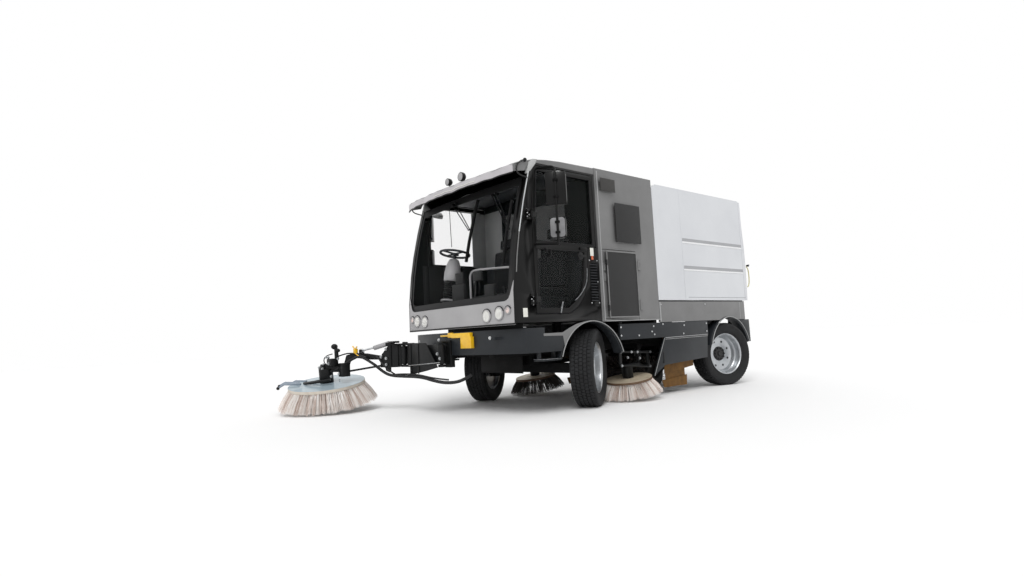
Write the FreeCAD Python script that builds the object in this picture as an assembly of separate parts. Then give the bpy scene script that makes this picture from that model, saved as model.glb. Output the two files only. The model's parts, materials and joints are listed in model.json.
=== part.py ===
import FreeCAD, Part
import math
import os

# Street sweeper truck, millimetres, +Z up, front towards -Y, +X the vehicle's left.
# Heights count from the ground, lengths along Y from the seam between cab and engine bay.

V = FreeCAD.Vector
UP = V(0, 0, 1)
LEFTWARD = V(1, 0, 0)

# Body
body_half = 1095.0
panel = 45.0
seam = 8.0
roof_top = 2883.0
cab_floor_z = 1019.0
cab_front_y = -1363.0
cab_front_bulge = 45.0

# Engine bay and hopper
engine_front_y = 0.0
engine_rear_y = 1140.0
engine_floor_z = 1002.0
hopper_rear_y = 3440.0
hopper_floor_z = 1263.0
hopper_top_z = 2837.0
hopper_wall = 40.0
hopper_bulge = 34.0
crease_y = 1774.0
rib_heights = (1700.0, 2090.0)
rib_depth = 9.0
rib_height = 46.0
sill_top_z = 1250.0
sill_seam_z = 965.0
sill_rear_y = 3336.0
sill_thickness = 30.0
side_beam_bottom_z = 769.0

# Chassis
rail_x = 415.0
rail_width = 70.0
rail_bottom_z = 640.0
rail_top_z = 860.0
rail_front_y = -1180.0
beam_bottom_z = 690.0
beam_top_z = 960.0
beam_recess_z = 872.0
beam_recess_y = -954.0
beam_corner_y = -1240.0
beam_front_y = -1400.0
beam_wall = 90.0

# Wheels and axles
wheel_radius = 463.0
tyre_width = 280.0
bead_radius = 290.0
flange_radius = 304.0
rim_width = 224.0
rim_wall = 12.0
wheel_centre_x = body_half - 161
front_axle_y = -175.0
rear_axle_y = 2880.0
front_arch_y = -205.0
rear_arch_y = 2838.0
kingpin_x = wheel_centre_x - 174
kingpin_radius = 24.0
front_steer = 31.0
rear_steer = -15.0
spindle_radius = 40.0
hub_radius = 100.0
hub_face = -10.0
hub_back = -80.0
hub_cap = 8.0
web_face = -52.0
web_back = -70.0
fit = 0.05
touch = 0.3
arch_radius = 543.0
arch_thickness = 12.0
arch_inner_x = body_half - 130

# Doors
door_clearance = 7.0
door_glass = 6.0
hinge_radius = 15.0
hinge_stand_off = 8.0

# Brushes
tip_clearance = 3.0
front_brush_x = -1990.0
front_brush_y = -2140.0
front_disc_radius = 500.0
front_tip_radius = 665.0
front_bristle_drop = 242.0
front_disc_rim = 44.0
front_tilt = V(0.10, -0.115, 1.0)
side_brush_x = body_half - 205
side_brush_y = 665.0
side_disc_radius = 300.0
side_tip_radius = 425.0
side_bristle_drop = 180.0
side_disc_rim = 34.0
side_tilt = V(0.02, -0.15, 1.0)
shaft_radius = 25.0
main_brush_y = 1500.0
main_brush_radius = 260.0
main_brush_half = 690.0
main_pivot_y = 1950.0
main_pivot_z = 560.0
main_tube_radius = 30.0
main_shaft_radius = 20.0

# Front arm
arm_root = V(-120.0, -1510.0, 0.0)
arm_knee = V(-960.0, -1530.0, 0.0)
boom_low_z = 560.0
boom_high_z = 862.0
lug_thickness = 28.0
lug_gap = 6.0
boom_pin_radius = 22.0
boom_half = 32.0
link_start_s = 300.0
link_start_z = 680.0
link_length = 585.0
link_fall = 68.0
link_spacing = 90.0
link_pin_radius = 12.0
tie_bar_radius = 13.0
ram_top_s = 225.0
ram_top_z = 862.0
ram_eye_s = 640.0
ram_eye_z = 790.0
ram_eye_pin_radius = 10.0

# Side brush carriers
carrier_x = side_brush_x - 90
carrier_y = side_brush_y + 335
carrier_pin_radius = 20.0
carrier_high_z = rail_bottom_z - 6
carrier_cap = 15.0
guide_radius = 22.0
guide_low_z = 365.0
sleeve_radius = 38.0
sleeve_low_z = 395.0
side_arm_z = 415.0
side_arm_depth = 40.0
side_motor_radius = 70.0
side_lift = 50.0
carrier_low_z = side_arm_z + side_arm_depth + side_lift + 25


def block(x0, x1, y0, y1, z0, z1):
    return Part.makeBox(x1 - x0, y1 - y0, z1 - z0, V(x0, y0, z0))


def rod(start, end, radius):
    way = end - start
    return Part.makeCylinder(radius, way.Length, start, way)


def prism(points, way):
    face = Part.Face(Part.makePolygon(list(points) + [points[0]]))
    return face.extrude(way)


def side_plate(outline, x0, x1):
    return prism([V(x0, y, z) for y, z in outline], V(x1 - x0, 0, 0))


def join(*shapes):
    first = shapes[0]
    if len(shapes) == 1:
        return first
    return first.fuse(list(shapes[1:])).removeSplitter()


def mirrored(shape):
    return shape.mirror(V(0, 0, 0), LEFTWARD)


def both(shape):
    return Part.makeCompound([shape, mirrored(shape)])


def turned(shape, centre, axis, angle):
    copy = shape.copy()
    copy.rotate(centre, axis, angle)
    return copy


def revolved(outline, centre, axis, outward):
    """Spin a list of (radius, offset along the axis) about that axis."""
    points = [centre + axis * along + outward * radius for radius, along in outline]
    face = Part.Face(Part.makePolygon(points + [points[0]]))
    return face.revolve(centre, axis, 360.0)


def pillar_z(share):
    """Height of a point on the front pillar, as a share of the cab's own height."""
    return cab_floor_z + share * (roof_top - cab_floor_z)


# Cab outline seen from the side, as (y, z)
cab_top_y = -1060.0
cab_side_outline = [
    (cab_front_y, cab_floor_z),
    (cab_front_y + 4, pillar_z(0.186)),
    (-1317.0, pillar_z(0.386)),
    (-1268.0, pillar_z(0.532)),
    (-1187.0, pillar_z(0.7135)),
    (-1105.0, pillar_z(0.866)),
    (cab_top_y, roof_top - 93),
    (-1000.0, roof_top - 48),
    (-780.0, roof_top - 21),
    (-567.0, roof_top - 8),
    (engine_front_y - seam / 2, roof_top),
    (engine_front_y - seam / 2, cab_floor_z),
]
roof_line_z = roof_top - 83
visor_corner_y = -1300.0
visor_front_y = -1480.0
visor_slope = 0.3
visor_thickness = 14.0
visor_lip = 80.0
screen_bottom_z = 1262.0
screen_top_z = roof_top - 243
screen_half = body_half - 65
glass_inset = 10.0

door_front_y = -1063.0
door_front_top_y = -1000.0
door_rear_y = -40.0
door_bottom_z = 1107.0
door_top_z = roof_top - 108
door_step_z = 1890.0
door_outline = [
    (door_front_y, door_bottom_z),
    (-531.0, door_bottom_z),
    (-390.0, 1190.0),
    (-280.0, 1319.0),
    (-213.0, 1497.0),
    (-185.0, door_step_z),
    (door_rear_y, door_step_z),
    (door_rear_y, door_top_z),
    (door_front_top_y, door_top_z),
    (door_front_y, door_top_z - 525),
]


def grown(outline, distance):
    """Offset a closed outline in the YZ plane, outwards when distance is above zero."""
    wire = Part.makePolygon([V(0, y, z) for y, z in outline] + [V(0, *outline[0])])
    if distance == 0:
        return Part.Face(wire)
    return Part.Face(wire.makeOffset2D(distance, 2))


def side_slab(outline, distance, x0, x1):
    slab = grown(outline, distance).extrude(V(x1 - x0, 0, 0))
    slab.translate(V(x0, 0, 0))
    return slab


def cab_outer(x_half, inset):
    return side_slab(cab_side_outline, -inset, -x_half, x_half)


def front_y(z):
    """Y of the cab's front at a height, along its side outline."""
    for (y0, z0), (y1, z1) in zip(cab_side_outline, cab_side_outline[1:]):
        if z0 <= z <= z1:
            return y0 + (y1 - y0) * (z - z0) / (z1 - z0)


def front_bulge(x):
    """How far the front stands forward at a distance from the centre line."""
    curve = (screen_half ** 2 + cab_front_bulge ** 2) / (2 * cab_front_bulge)
    return math.sqrt(curve ** 2 - x ** 2) - curve + cab_front_bulge


def front_band(half, inset, depth, low, high):
    """The cab's front skin between two heights, bulged forward across the cab."""
    levels = [low] + [z for y, z in cab_side_outline if low < z < high and y < cab_top_y] + [high]
    pieces = []
    for z0, z1 in zip(levels, levels[1:]):
        y0, y1 = front_y(z0) + inset, front_y(z1) + inset
        middle = y0 - front_bulge(0)
        side = y0 - front_bulge(half)
        left, right = V(-half, side, z0), V(half, side, z0)
        back = V(0, depth, 0)
        outer = Part.Arc(left, V(0, middle, z0), right).toShape()
        inner = Part.Arc(right + back, V(0, middle, z0) + back, left + back).toShape()
        ends = [Part.makeLine(right, right + back), Part.makeLine(left + back, left)]
        face = Part.Face(Part.Wire([outer, ends[0], inner, ends[1]]))
        pieces.append(face.extrude(V(0, y1 - y0, z1 - z0)))
    return join(*pieces)


def cab_shell():
    shell = cab_outer(body_half, 0).cut(cab_outer(body_half - panel, panel))
    shell = shell.cut(block(-screen_half, screen_half, -1500, -1000, cab_floor_z + 60, screen_top_z))
    lower_front = block(-screen_half, screen_half, cab_front_y - 1, cab_front_y + panel,
                        cab_floor_z - 1, cab_floor_z + 60)
    shell = shell.cut(lower_front)
    shell = shell.cut(block(-body_half - 1, body_half + 1, -1500, 10, roof_line_z, roof_top + 10))
    for x0, x1 in ((body_half - panel - 1, body_half + 1), (-body_half - 1, -body_half + panel + 1)):
        shell = shell.cut(side_slab(door_outline, 0, x0, x1))
    rear_window = block(-620, 620, -60, 10, 1900, roof_top - 283)
    shell = shell.cut(rear_window)
    louvre_pitch = 48.0
    for row in range(10):
        z = 1250 + row * louvre_pitch
        slot = block(body_half - 8, body_half + 1, -150, -40, z, z + 22)
        shell = shell.cut(slot).cut(mirrored(slot))
    header = front_band(screen_half, 0, panel + 12, screen_top_z, screen_top_z + 135)
    return join(shell, header)


def cab_roof():
    roof = cab_outer(body_half, 0).cut(cab_outer(body_half - panel, panel))
    roof = roof.common(block(-body_half - 1, body_half + 1, -1500, 10, roof_line_z, roof_top + 10))
    return roof


def front_panel():
    half = screen_half - 0.3
    top = screen_bottom_z - 10
    plan = [(half, cab_front_y), (half, cab_front_y + panel), (-half, cab_front_y + panel),
            (-half, cab_front_y)]
    points = [V(x, y, cab_floor_z) for x, y in plan]
    arc = Part.Arc(points[3], V(0, cab_front_y - cab_front_bulge, cab_floor_z), points[0]).toShape()
    edges = [arc]
    for a, b in zip(points[:3], points[1:]):
        edges.append(Part.makeLine(a, b))
    slab = Part.Face(Part.Wire(Part.__sortEdges__(edges))).extrude(V(0, 0, top - cab_floor_z))
    for x, y, z, radius in lamp_places():
        pocket = rod(V(x, y - 30, z), V(x, y + panel - 12, z), radius + 4)
        slab = slab.cut(pocket)
    return slab


def lamp_places():
    places = []
    for sign in (1, -1):
        places.append((sign * 627.0, cab_front_y - 30, 1115.0, 66.0))
        places.append((sign * 832.0, cab_front_y - 18, 1131.0, 66.0))
        places.append((sign * 985.0, cab_front_y - 5, 1176.0, 36.0))
    return places


def headlamps():
    lamps = []
    for x, y, z, radius in lamp_places():
        lamps.append(rod(V(x, y, z), V(x, y + panel - 12, z), radius))
    return Part.makeCompound(lamps)


def windscreen():
    return front_band(screen_half - touch, glass_inset, 16, screen_bottom_z - 10, screen_top_z - touch)


def visor_z(y):
    """Height of the shade's sloping top at a distance along Y."""
    return roof_line_z + 35 + (y + 1000) * visor_slope


def sun_visor():
    """Sloping shade over the windscreen, its front edge bulged forward at the centre."""
    outline = [(-1000.0, visor_z(-1000)), (visor_front_y, visor_z(visor_front_y)),
               (visor_front_y, visor_z(visor_front_y) - visor_thickness),
               (-1066.0, roof_line_z + 0.3), (-1000.0, roof_line_z + 0.3)]
    slab = side_plate(outline, -body_half, body_half)
    fall = visor_z(visor_front_y) - visor_lip
    lip = side_plate([(-1100.0, visor_z(-1100)), (visor_front_y, visor_z(visor_front_y)), (visor_front_y, fall),
                      (-1100.0, visor_z(-1100) - visor_lip)], -body_half, body_half)
    left, right = V(body_half, visor_corner_y, 0), V(-body_half, visor_corner_y, 0)
    back_left, back_right = V(body_half, -990, 0), V(-body_half, -990, 0)
    edges = [Part.Arc(left, V(0, visor_front_y, 0), right).toShape(), Part.makeLine(right, back_right),
             Part.makeLine(back_right, back_left), Part.makeLine(back_left, left)]
    plan = Part.Face(Part.Wire(edges)).extrude(V(0, 0, 3000))
    inner = plan.copy()
    inner.translate(V(0, visor_thickness, 0))
    return join(slab.common(plan), lip.common(plan.cut(inner)))


def work_lamps():
    lamps = []
    for x, radius in ((-220.0, 46.0), (64.0, 52.0)):
        stalk = rod(V(x, -1210, visor_z(-1210 + 12) + touch), V(x, -1210, roof_top - 73), 12)
        lamp = rod(V(x, -1262, roof_top - 33), V(x, -1180, roof_top - 33), radius)
        lamps.append(join(stalk, lamp))
    return Part.makeCompound(lamps)


def off_screen(x, depth, distance):
    """A point in front of the glass, at a depth below its top edge."""
    z = screen_top_z - depth
    return V(x, front_y(z) + glass_inset - front_bulge(x) - distance, z)


# Where each wiper turns, where its arm ends, and both ends of its blade, as (x, depth below the top)
wiper_places = (
    ((-205.0, 80.0), (295.0, 490.0), (333.0, 131.0), (275.0, 872.0)),
    ((606.0, 130.0), (940.0, 610.0), (956.0, 264.0), (927.0, 988.0)),
)
wiper_arm_radius = 8.0
wiper_blade_radius = 9.0


def wipers():
    glass_side = front_band(screen_half, glass_inset - touch, 100, screen_bottom_z, screen_top_z)
    sets = []
    for pivot, arm_end, blade_top, blade_low in wiper_places:
        boss = rod(off_screen(*pivot, -30), off_screen(*pivot, 52), 20)
        boss = boss.cut(glass_side)
        arm = rod(off_screen(*pivot, 40), off_screen(*arm_end, 16), wiper_arm_radius)
        points = []
        for share in (0.0, 0.25, 0.5, 0.75, 1.0):
            x = blade_top[0] + (blade_low[0] - blade_top[0]) * share
            depth = blade_top[1] + (blade_low[1] - blade_top[1]) * share
            points.append(off_screen(x, depth, 18))
        blade = [rod(start, end, wiper_blade_radius) for start, end in zip(points, points[1:])]
        sets.append(join(boss, arm, *blade))
    return Part.makeCompound(sets)


def dashboard():
    floor = cab_floor_z + panel + 0.3
    outline = [(cab_front_y + 60, floor), (cab_front_y + 60, 1200.0), (-1180.0, 1240.0), (-1100.0, floor)]
    return side_plate(outline, 130 - screen_half, screen_half - 130)


column_x = -490.0
column_foot = V(column_x, -1172.0, cab_floor_z + panel)
column_head = V(column_x, -1010.0, 1930.0)


def steering_column():
    way = column_head - column_foot
    bellows = rod(column_foot, column_foot + way * 0.62, 92)
    hood = rod(column_foot + way * 0.6, column_foot + way * 0.93, 108)
    neck = rod(column_foot + way * 0.9, column_head, 55)
    floor = cab_floor_z + panel + 0.3
    return join(bellows, hood, neck).common(block(column_x - 200, column_x + 200, -1300, -600, floor, 2100))


def column_axis():
    way = column_head - column_foot
    return way.normalize()


steering_wheel_radius = 190.0


def steering_wheel():
    axis = column_axis()
    centre = column_head + axis * 60
    ring = Part.makeTorus(steering_wheel_radius, 15, centre, axis)
    hub = rod(column_head + axis * touch, centre + axis * 12, 40)
    across = V(1, 0, 0)
    along = axis.cross(across)
    spokes = []
    for way in (across, across * -1, along * -1):
        spokes.append(rod(centre, centre + way * steering_wheel_radius, 11))
    return join(ring, hub, *spokes)


seat_x = 480.0


def seat(x):
    base = block(x - 190, x + 190, -560, -160, cab_floor_z + panel + 0.3, 1330)
    cushion = block(x - 240, x + 240, -640, -130, 1330, 1450)
    back = side_plate([(-250.0, 1450.0), (-130.0, 1450.0), (-60.0, 2080.0), (-150.0, 2100.0)],
                      x - 230, x + 230)
    head = side_plate([(-150.0, 2100.0), (-60.0, 2080.0), (-52.0, 2230.0), (-130.0, 2240.0)],
                      x - 130, x + 130)
    return join(base, cushion, back, head)


def door_panel():
    x0 = body_half - panel
    slab = side_slab(door_outline, -door_clearance, x0, body_half)
    upper = [(door_front_y + 60, door_step_z + 30), (door_rear_y - 55, door_step_z + 30),
             (door_rear_y - 55, door_top_z - 60), (door_front_top_y + 40, door_top_z - 60),
             (door_front_y + 60, door_top_z - 525)]
    lower = [(door_front_y + 60, door_bottom_z + 60), (-560.0, door_bottom_z + 60),
             (-440.0, 1240.0), (-330.0, 1350.0), (-270.0, 1510.0), (-245.0, door_step_z - 60),
             (door_front_y + 60, door_step_z - 60)]
    for outline in (upper, lower):
        slab = slab.cut(side_slab(outline, 0, x0 - 1, body_half + 1))
    handle = block(body_half - 1, body_half + 18, -330, -210, 1850, 1880)
    leaves = [hinge_leaf(door_hinge_y, z, 1) for z in door_hinge_heights]
    return join(slab, handle, mirror_set(), *leaves), (upper, lower)


hinge_half = 30.0
hinge_pin = 6.0
door_hinge_y = door_front_y - 12
door_hinge_heights = (door_bottom_z + 163, door_top_z - 575)
hinge_x = body_half + hinge_stand_off + hinge_radius


def hinge_leaf(y, z, way):
    """Moving half of a side door's hinge: an eye on the pin and a leaf along Y."""
    low, high = z - hinge_half, z + hinge_half
    ends = sorted((y, y + way * 72))
    seat_ends = sorted((y + way * 26, y + way * 72))
    leaf = block(body_half + 4, hinge_x, ends[0], ends[1], low, high)
    foot = block(body_half - 1, hinge_x, seat_ends[0], seat_ends[1], low, high)
    eye = rod(V(hinge_x, y, low), V(hinge_x, y, high), hinge_radius)
    return join(leaf, foot, eye).cut(rod(V(hinge_x, y, low - 1), V(hinge_x, y, high + 1), hinge_pin + fit))


def hinge_post(y, z, way):
    """Fixed half of a side door's hinge: the pin and a knuckle above and below the eye."""
    parts = [rod(V(hinge_x, y, z - 60), V(hinge_x, y, z + 60), hinge_pin)]
    ends = sorted((y, y - way * 60))
    for low in (z - 60, z + hinge_half + 0.5):
        parts.append(rod(V(hinge_x, y, low), V(hinge_x, y, low + 29.5), hinge_radius))
        parts.append(block(body_half, hinge_x, ends[0], ends[1], low, low + 29.5))
    return join(*parts)


def door_glass_panes():
    panes = []
    for outline in door_panel()[1]:
        panes.append(side_slab(outline, -0.3, body_half - panel / 2 - door_glass, body_half - panel / 2))
    return Part.makeCompound(panes)


mirror_x = body_half + 205
mirror_y = -870.0
mirror_turn = 39.0


def mirror_set():
    """Large and small mirror on an upright tube, on two arms from the door's frame."""
    x, y = mirror_x, mirror_y
    tube = rod(V(x, y, door_top_z - 925), V(x, y, door_top_z - 75), 14)
    top = rod(V(body_half - 1, -930, door_top_z - 33), V(x, y, door_top_z - 85), 14)
    low = rod(V(body_half - 1, -1020, door_top_z - 900), V(x, y, door_top_z - 913), 14)
    big = block(x - 112, x + 112, y + 10, y + 60, door_top_z - 480, door_top_z - 115)
    small = block(x - 88, x + 88, y + 10, y + 60, door_top_z - 848, door_top_z - 620)
    heads = turned(join(big, small), V(x, y, 0), UP, mirror_turn)
    return join(tube, top, low, *heads.Solids)


def engine_housing():
    y0, y1 = engine_front_y + seam / 2, engine_rear_y - seam / 2
    shell = block(-body_half, body_half, y0, y1, engine_floor_z, roof_top)
    shell = shell.cut(block(-body_half + panel, body_half - panel, y0 + panel, y1 - panel,
                            engine_floor_z - 1, roof_top - panel))
    door = side_slab(engine_door_outline, door_clearance, body_half - panel - 1, body_half + 1)
    grille = block(body_half - 12, body_half + 1, 313, 800, upper_grille_z[0], upper_grille_z[1])
    vent = block(body_half - 12, body_half + 1, 69, 341, vent_z[0], vent_z[1])
    for cutter in (door, grille, vent):
        shell = shell.cut(cutter).cut(mirrored(cutter))
    upper = louvre_grille(313, 800, upper_grille_z[0], upper_grille_z[1], body_half - 12, body_half)
    low = louvre_grille(69, 341, vent_z[0], vent_z[1], body_half - 12, body_half)
    parts = [upper, low]
    for z in engine_hinge_heights:
        parts.append(hinge_post(engine_hinge_y, z, -1))
    return join(shell, *parts, *[mirrored(part) for part in parts])


engine_door_low_z = 1040.0
engine_door_high_z = roof_top - 1003
upper_grille_z = (engine_door_high_z + 102, engine_door_high_z + 596)
vent_z = (roof_top - 279, roof_top - 119)
low_grille_z = (engine_door_low_z + 20, engine_door_high_z - 32)
engine_door_outline = [(60.0, engine_door_low_z), (700.0, engine_door_low_z - 25),
                       (700.0, engine_door_high_z),
                       (60.0, engine_door_high_z)]
engine_hinge_y = 700.0 + door_clearance + 12
engine_hinge_heights = tuple(engine_door_low_z + share * (engine_door_high_z - engine_door_low_z)
                             for share in (0.19, 0.79))


def louvre_grille(y0, y1, z0, z1, x0, x1):
    frame = block(x0, x1, y0, y1, z0, z1)
    pitch = 30.0
    count = int((z1 - z0 - 20) / pitch)
    for row in range(count):
        z = z0 + 12 + row * pitch
        frame = frame.cut(block(x0 + 5, x1 + 1, y0 + 12, y1 - 12, z, z + pitch * 0.55))
    return frame


def engine_door():
    slab = side_slab(engine_door_outline, 0, body_half - panel, body_half)
    slab = slab.cut(block(body_half - 12, body_half + 1, 113, 661, low_grille_z[0], low_grille_z[1]))
    leaves = [hinge_leaf(engine_hinge_y, z, -1) for z in engine_hinge_heights]
    latches = []
    for z in (engine_door_high_z - 340, engine_door_high_z - 210):
        latches.append(block(body_half - 1, body_half + 14, 70, 104, z - 50, z + 50))
    grille = louvre_grille(113, 661, low_grille_z[0], low_grille_z[1], body_half - 12, body_half - 2)
    return join(slab, grille, *leaves, *latches)


def hopper_section(inset):
    """Side outline of the hopper, rear face bulged."""
    rear = hopper_rear_y
    height = hopper_top_z - hopper_floor_z
    return [
        (engine_rear_y + seam / 2 + inset, hopper_floor_z + inset),
        (rear + 11 - inset, hopper_floor_z + inset),
        (rear + hopper_bulge - inset, hopper_floor_z + 0.278 * height),
        (rear + hopper_bulge - 3 - inset, hopper_floor_z + 0.519 * height),
        (rear - 1 - inset, hopper_floor_z + 0.763 * height),
        (rear - 5 - inset, hopper_top_z - inset),
        (engine_rear_y + 97 + inset, hopper_top_z - inset),
        (engine_rear_y + seam / 2 + inset, hopper_top_z - 60 - inset),
    ]


gate_y = hopper_rear_y - 60


def hopper():
    body = side_plate(hopper_section(0), -body_half, body_half)
    room = side_plate(hopper_section(hopper_wall), -body_half + hopper_wall, body_half - hopper_wall)
    room = join(room, block(-body_half + hopper_wall, body_half - hopper_wall, gate_y - 200, gate_y + 200,
                            hopper_floor_z + hopper_wall, hopper_top_z - hopper_wall))
    body = body.cut(room)
    body = body.cut(block(-body_half - 1, body_half + 1, gate_y, hopper_rear_y + 200,
                          hopper_floor_z - 1, hopper_top_z + 1))
    for z in rib_heights:
        groove = block(body_half - rib_depth, body_half + 1, crease_y, gate_y - 20,
                       z - rib_height / 2, z + rib_height / 2)
        body = body.cut(groove).cut(mirrored(groove))
    posts = []
    for x in gate_hinge_xs:
        posts.append(rod(V(x - 60, gate_hinge_y, gate_hinge_z), V(x + 60, gate_hinge_y, gate_hinge_z),
                         hinge_pin))
        for start in (x - 60, x + hinge_half + 0.5):
            posts.append(rod(V(start, gate_hinge_y, gate_hinge_z), V(start + 29.5, gate_hinge_y, gate_hinge_z),
                             hinge_radius))
            posts.append(block(start, start + 29.5, gate_hinge_y - 60, gate_hinge_y, hopper_top_z - 1,
                               gate_hinge_z))
    return join(body, *posts)


gate_hinge_y = gate_y + 3
gate_hinge_z = hopper_top_z + hinge_stand_off + hinge_radius
gate_hinge_xs = (-700.0, 0.0, 700.0)


def tailgate():
    """Rear door of the hopper, hung at its top edge, with the water fitting on its face."""
    body = side_plate(hopper_section(0), -body_half, body_half)
    body = body.common(block(-body_half - 1, body_half + 1, gate_y + door_clearance, hopper_rear_y + 200,
                             hopper_floor_z, hopper_top_z - 14))
    parts = [block(930, 1010, hopper_rear_y + 20, hopper_rear_y + 120, 1329, 1743)]
    for x in gate_hinge_xs:
        low, high = x - hinge_half, x + hinge_half
        leaf = block(low, high, gate_y + door_clearance + 1, gate_y + 50, hopper_top_z - 20,
                     gate_hinge_z + 5)
        eye = rod(V(low, gate_hinge_y, gate_hinge_z), V(high, gate_hinge_y, gate_hinge_z), hinge_radius)
        hole = rod(V(low - 1, gate_hinge_y, gate_hinge_z), V(high + 1, gate_hinge_y, gate_hinge_z),
                   hinge_pin + fit)
        parts.append(join(leaf, eye).cut(hole))
    return join(body, *parts)


def sill_panels():
    outline = [(engine_rear_y + seam / 2, sill_top_z), (sill_rear_y, sill_top_z),
               (sill_rear_y, sill_seam_z + 4), (engine_rear_y + seam / 2, sill_seam_z + 4)]
    plate = side_plate(outline, body_half - sill_thickness, body_half)
    return plate.cut(arch_clearance(rear_arch_y))


tail_side_y = sill_rear_y + 105
tail_low_z = 620.0


def side_beams():
    outline = [(310.0, sill_seam_z), (2260.0, sill_seam_z), (2260.0, side_beam_bottom_z),
               (310.0, side_beam_bottom_z)]
    plate = side_plate(outline, body_half - sill_thickness, body_half)
    tail = side_plate([(rear_arch_y + 300, sill_seam_z), (tail_side_y, sill_seam_z),
                       (tail_side_y + 10, tail_low_z), (rear_arch_y + 450, tail_low_z)],
                      body_half - 20 + touch, body_half)
    for y in (front_arch_y, rear_arch_y):
        plate = plate.cut(arch_clearance(y, -arch_thickness))
    return plate, tail.cut(arch_clearance(rear_arch_y, -arch_thickness))


def skirts():
    outline = [(1215.0, side_beam_bottom_z), (2250.0, side_beam_bottom_z), (2206.0, 447.0), (1196.0, 404.0),
               (944.0, 279.0)]
    plate = side_plate(outline, body_half - 28, body_half - 4)
    return plate.cut(arch_clearance(rear_arch_y, -arch_thickness))


def arch_clearance(y, extra=0.3):
    radius = arch_radius + arch_thickness + extra
    half = body_half + 105
    return rod(V(-half, y, wheel_radius), V(half, y, wheel_radius), radius)


def arch(y, x0):
    outer = rod(V(x0, y, wheel_radius), V(body_half, y, wheel_radius), arch_radius + arch_thickness)
    inner = rod(V(x0 - 1, y, wheel_radius), V(body_half + 1, y, wheel_radius), arch_radius)
    keep = block(x0, body_half, y - 700, y + 700, wheel_radius + 150, 1100)
    return outer.cut(inner).common(keep)


def tail_panels():
    return block(body_half - 300, body_half - 20, sill_rear_y, sill_rear_y + 17, 770, sill_seam_z + 25)


flap_x = body_half - 195


def rubber_flaps():
    upper = side_plate([(1428.0, 470.0), (2120.0, 470.0), (2115.0, 336.0), (1412.0, 268.0)],
                       flap_x, flap_x + 8)
    lower = side_plate([(1389.0, 85.0), (1925.0, 80.0), (1940.0, 223.0), (1350.0, 184.0)],
                       flap_x, flap_x + 8)
    back = block(flap_x - 8, flap_x, 1440, 1900, 120, rail_top_z - 60)
    return both(join(upper, lower, back))


def front_beam():
    outer = [V(body_half, beam_corner_y, beam_bottom_z), V(0, beam_front_y, beam_bottom_z),
             V(-body_half, beam_corner_y, beam_bottom_z)]
    rear_y = front_arch_y - 420
    inner_y = rail_front_y
    inside = body_half - beam_wall
    corner = [V(-body_half, rear_y, beam_bottom_z), V(-inside, rear_y, beam_bottom_z),
              V(-inside, inner_y, beam_bottom_z), V(inside, inner_y, beam_bottom_z),
              V(inside, rear_y, beam_bottom_z), V(body_half, rear_y, beam_bottom_z)]
    chain = [outer[2]] + corner + [outer[0]]
    edges = [Part.Arc(outer[0], outer[1], outer[2]).toShape()]
    for a, b in zip(chain, chain[1:]):
        edges.append(Part.makeLine(a, b))
    beam = Part.Face(Part.Wire(edges)).extrude(V(0, 0, beam_top_z - beam_bottom_z))
    recess = block(inside - 1, body_half + 1, beam_recess_y, rear_y + 1, beam_recess_z, beam_top_z + 1)
    beam = beam.cut(recess).cut(mirrored(recess))
    return beam.cut(arch_clearance(front_arch_y))


tow_eye_x = 740.0
tow_eye_y = -1400.0
tow_eye_z = 864.0
tow_eye_bore = 20.0
tow_eye_thickness = 30.0


def tow_eye():
    """Flat towing eye that stands forward from the beam, with an upright bore."""
    low, high = tow_eye_z - tow_eye_thickness / 2, tow_eye_z + tow_eye_thickness / 2
    lug = block(tow_eye_x - 42, tow_eye_x + 42, tow_eye_y, beam_front_y + 130, low, high)
    lug = join(lug, rod(V(tow_eye_x, tow_eye_y, low), V(tow_eye_x, tow_eye_y, high), 42))
    return lug.cut(rod(V(tow_eye_x, tow_eye_y, low - 1), V(tow_eye_x, tow_eye_y, high + 1), tow_eye_bore))


def side_steps():
    tread = block(body_half - 170, body_half - 20, -984, -694, 590, 610)
    sides = []
    for y in (-984.0, -765.0):
        sides.append(side_plate([(y, 600.0), (y + 12, 600.0), (y + 12, beam_bottom_z), (y, beam_bottom_z)],
                                body_half - 120, body_half - 60))
    return join(tread, *sides)


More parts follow.
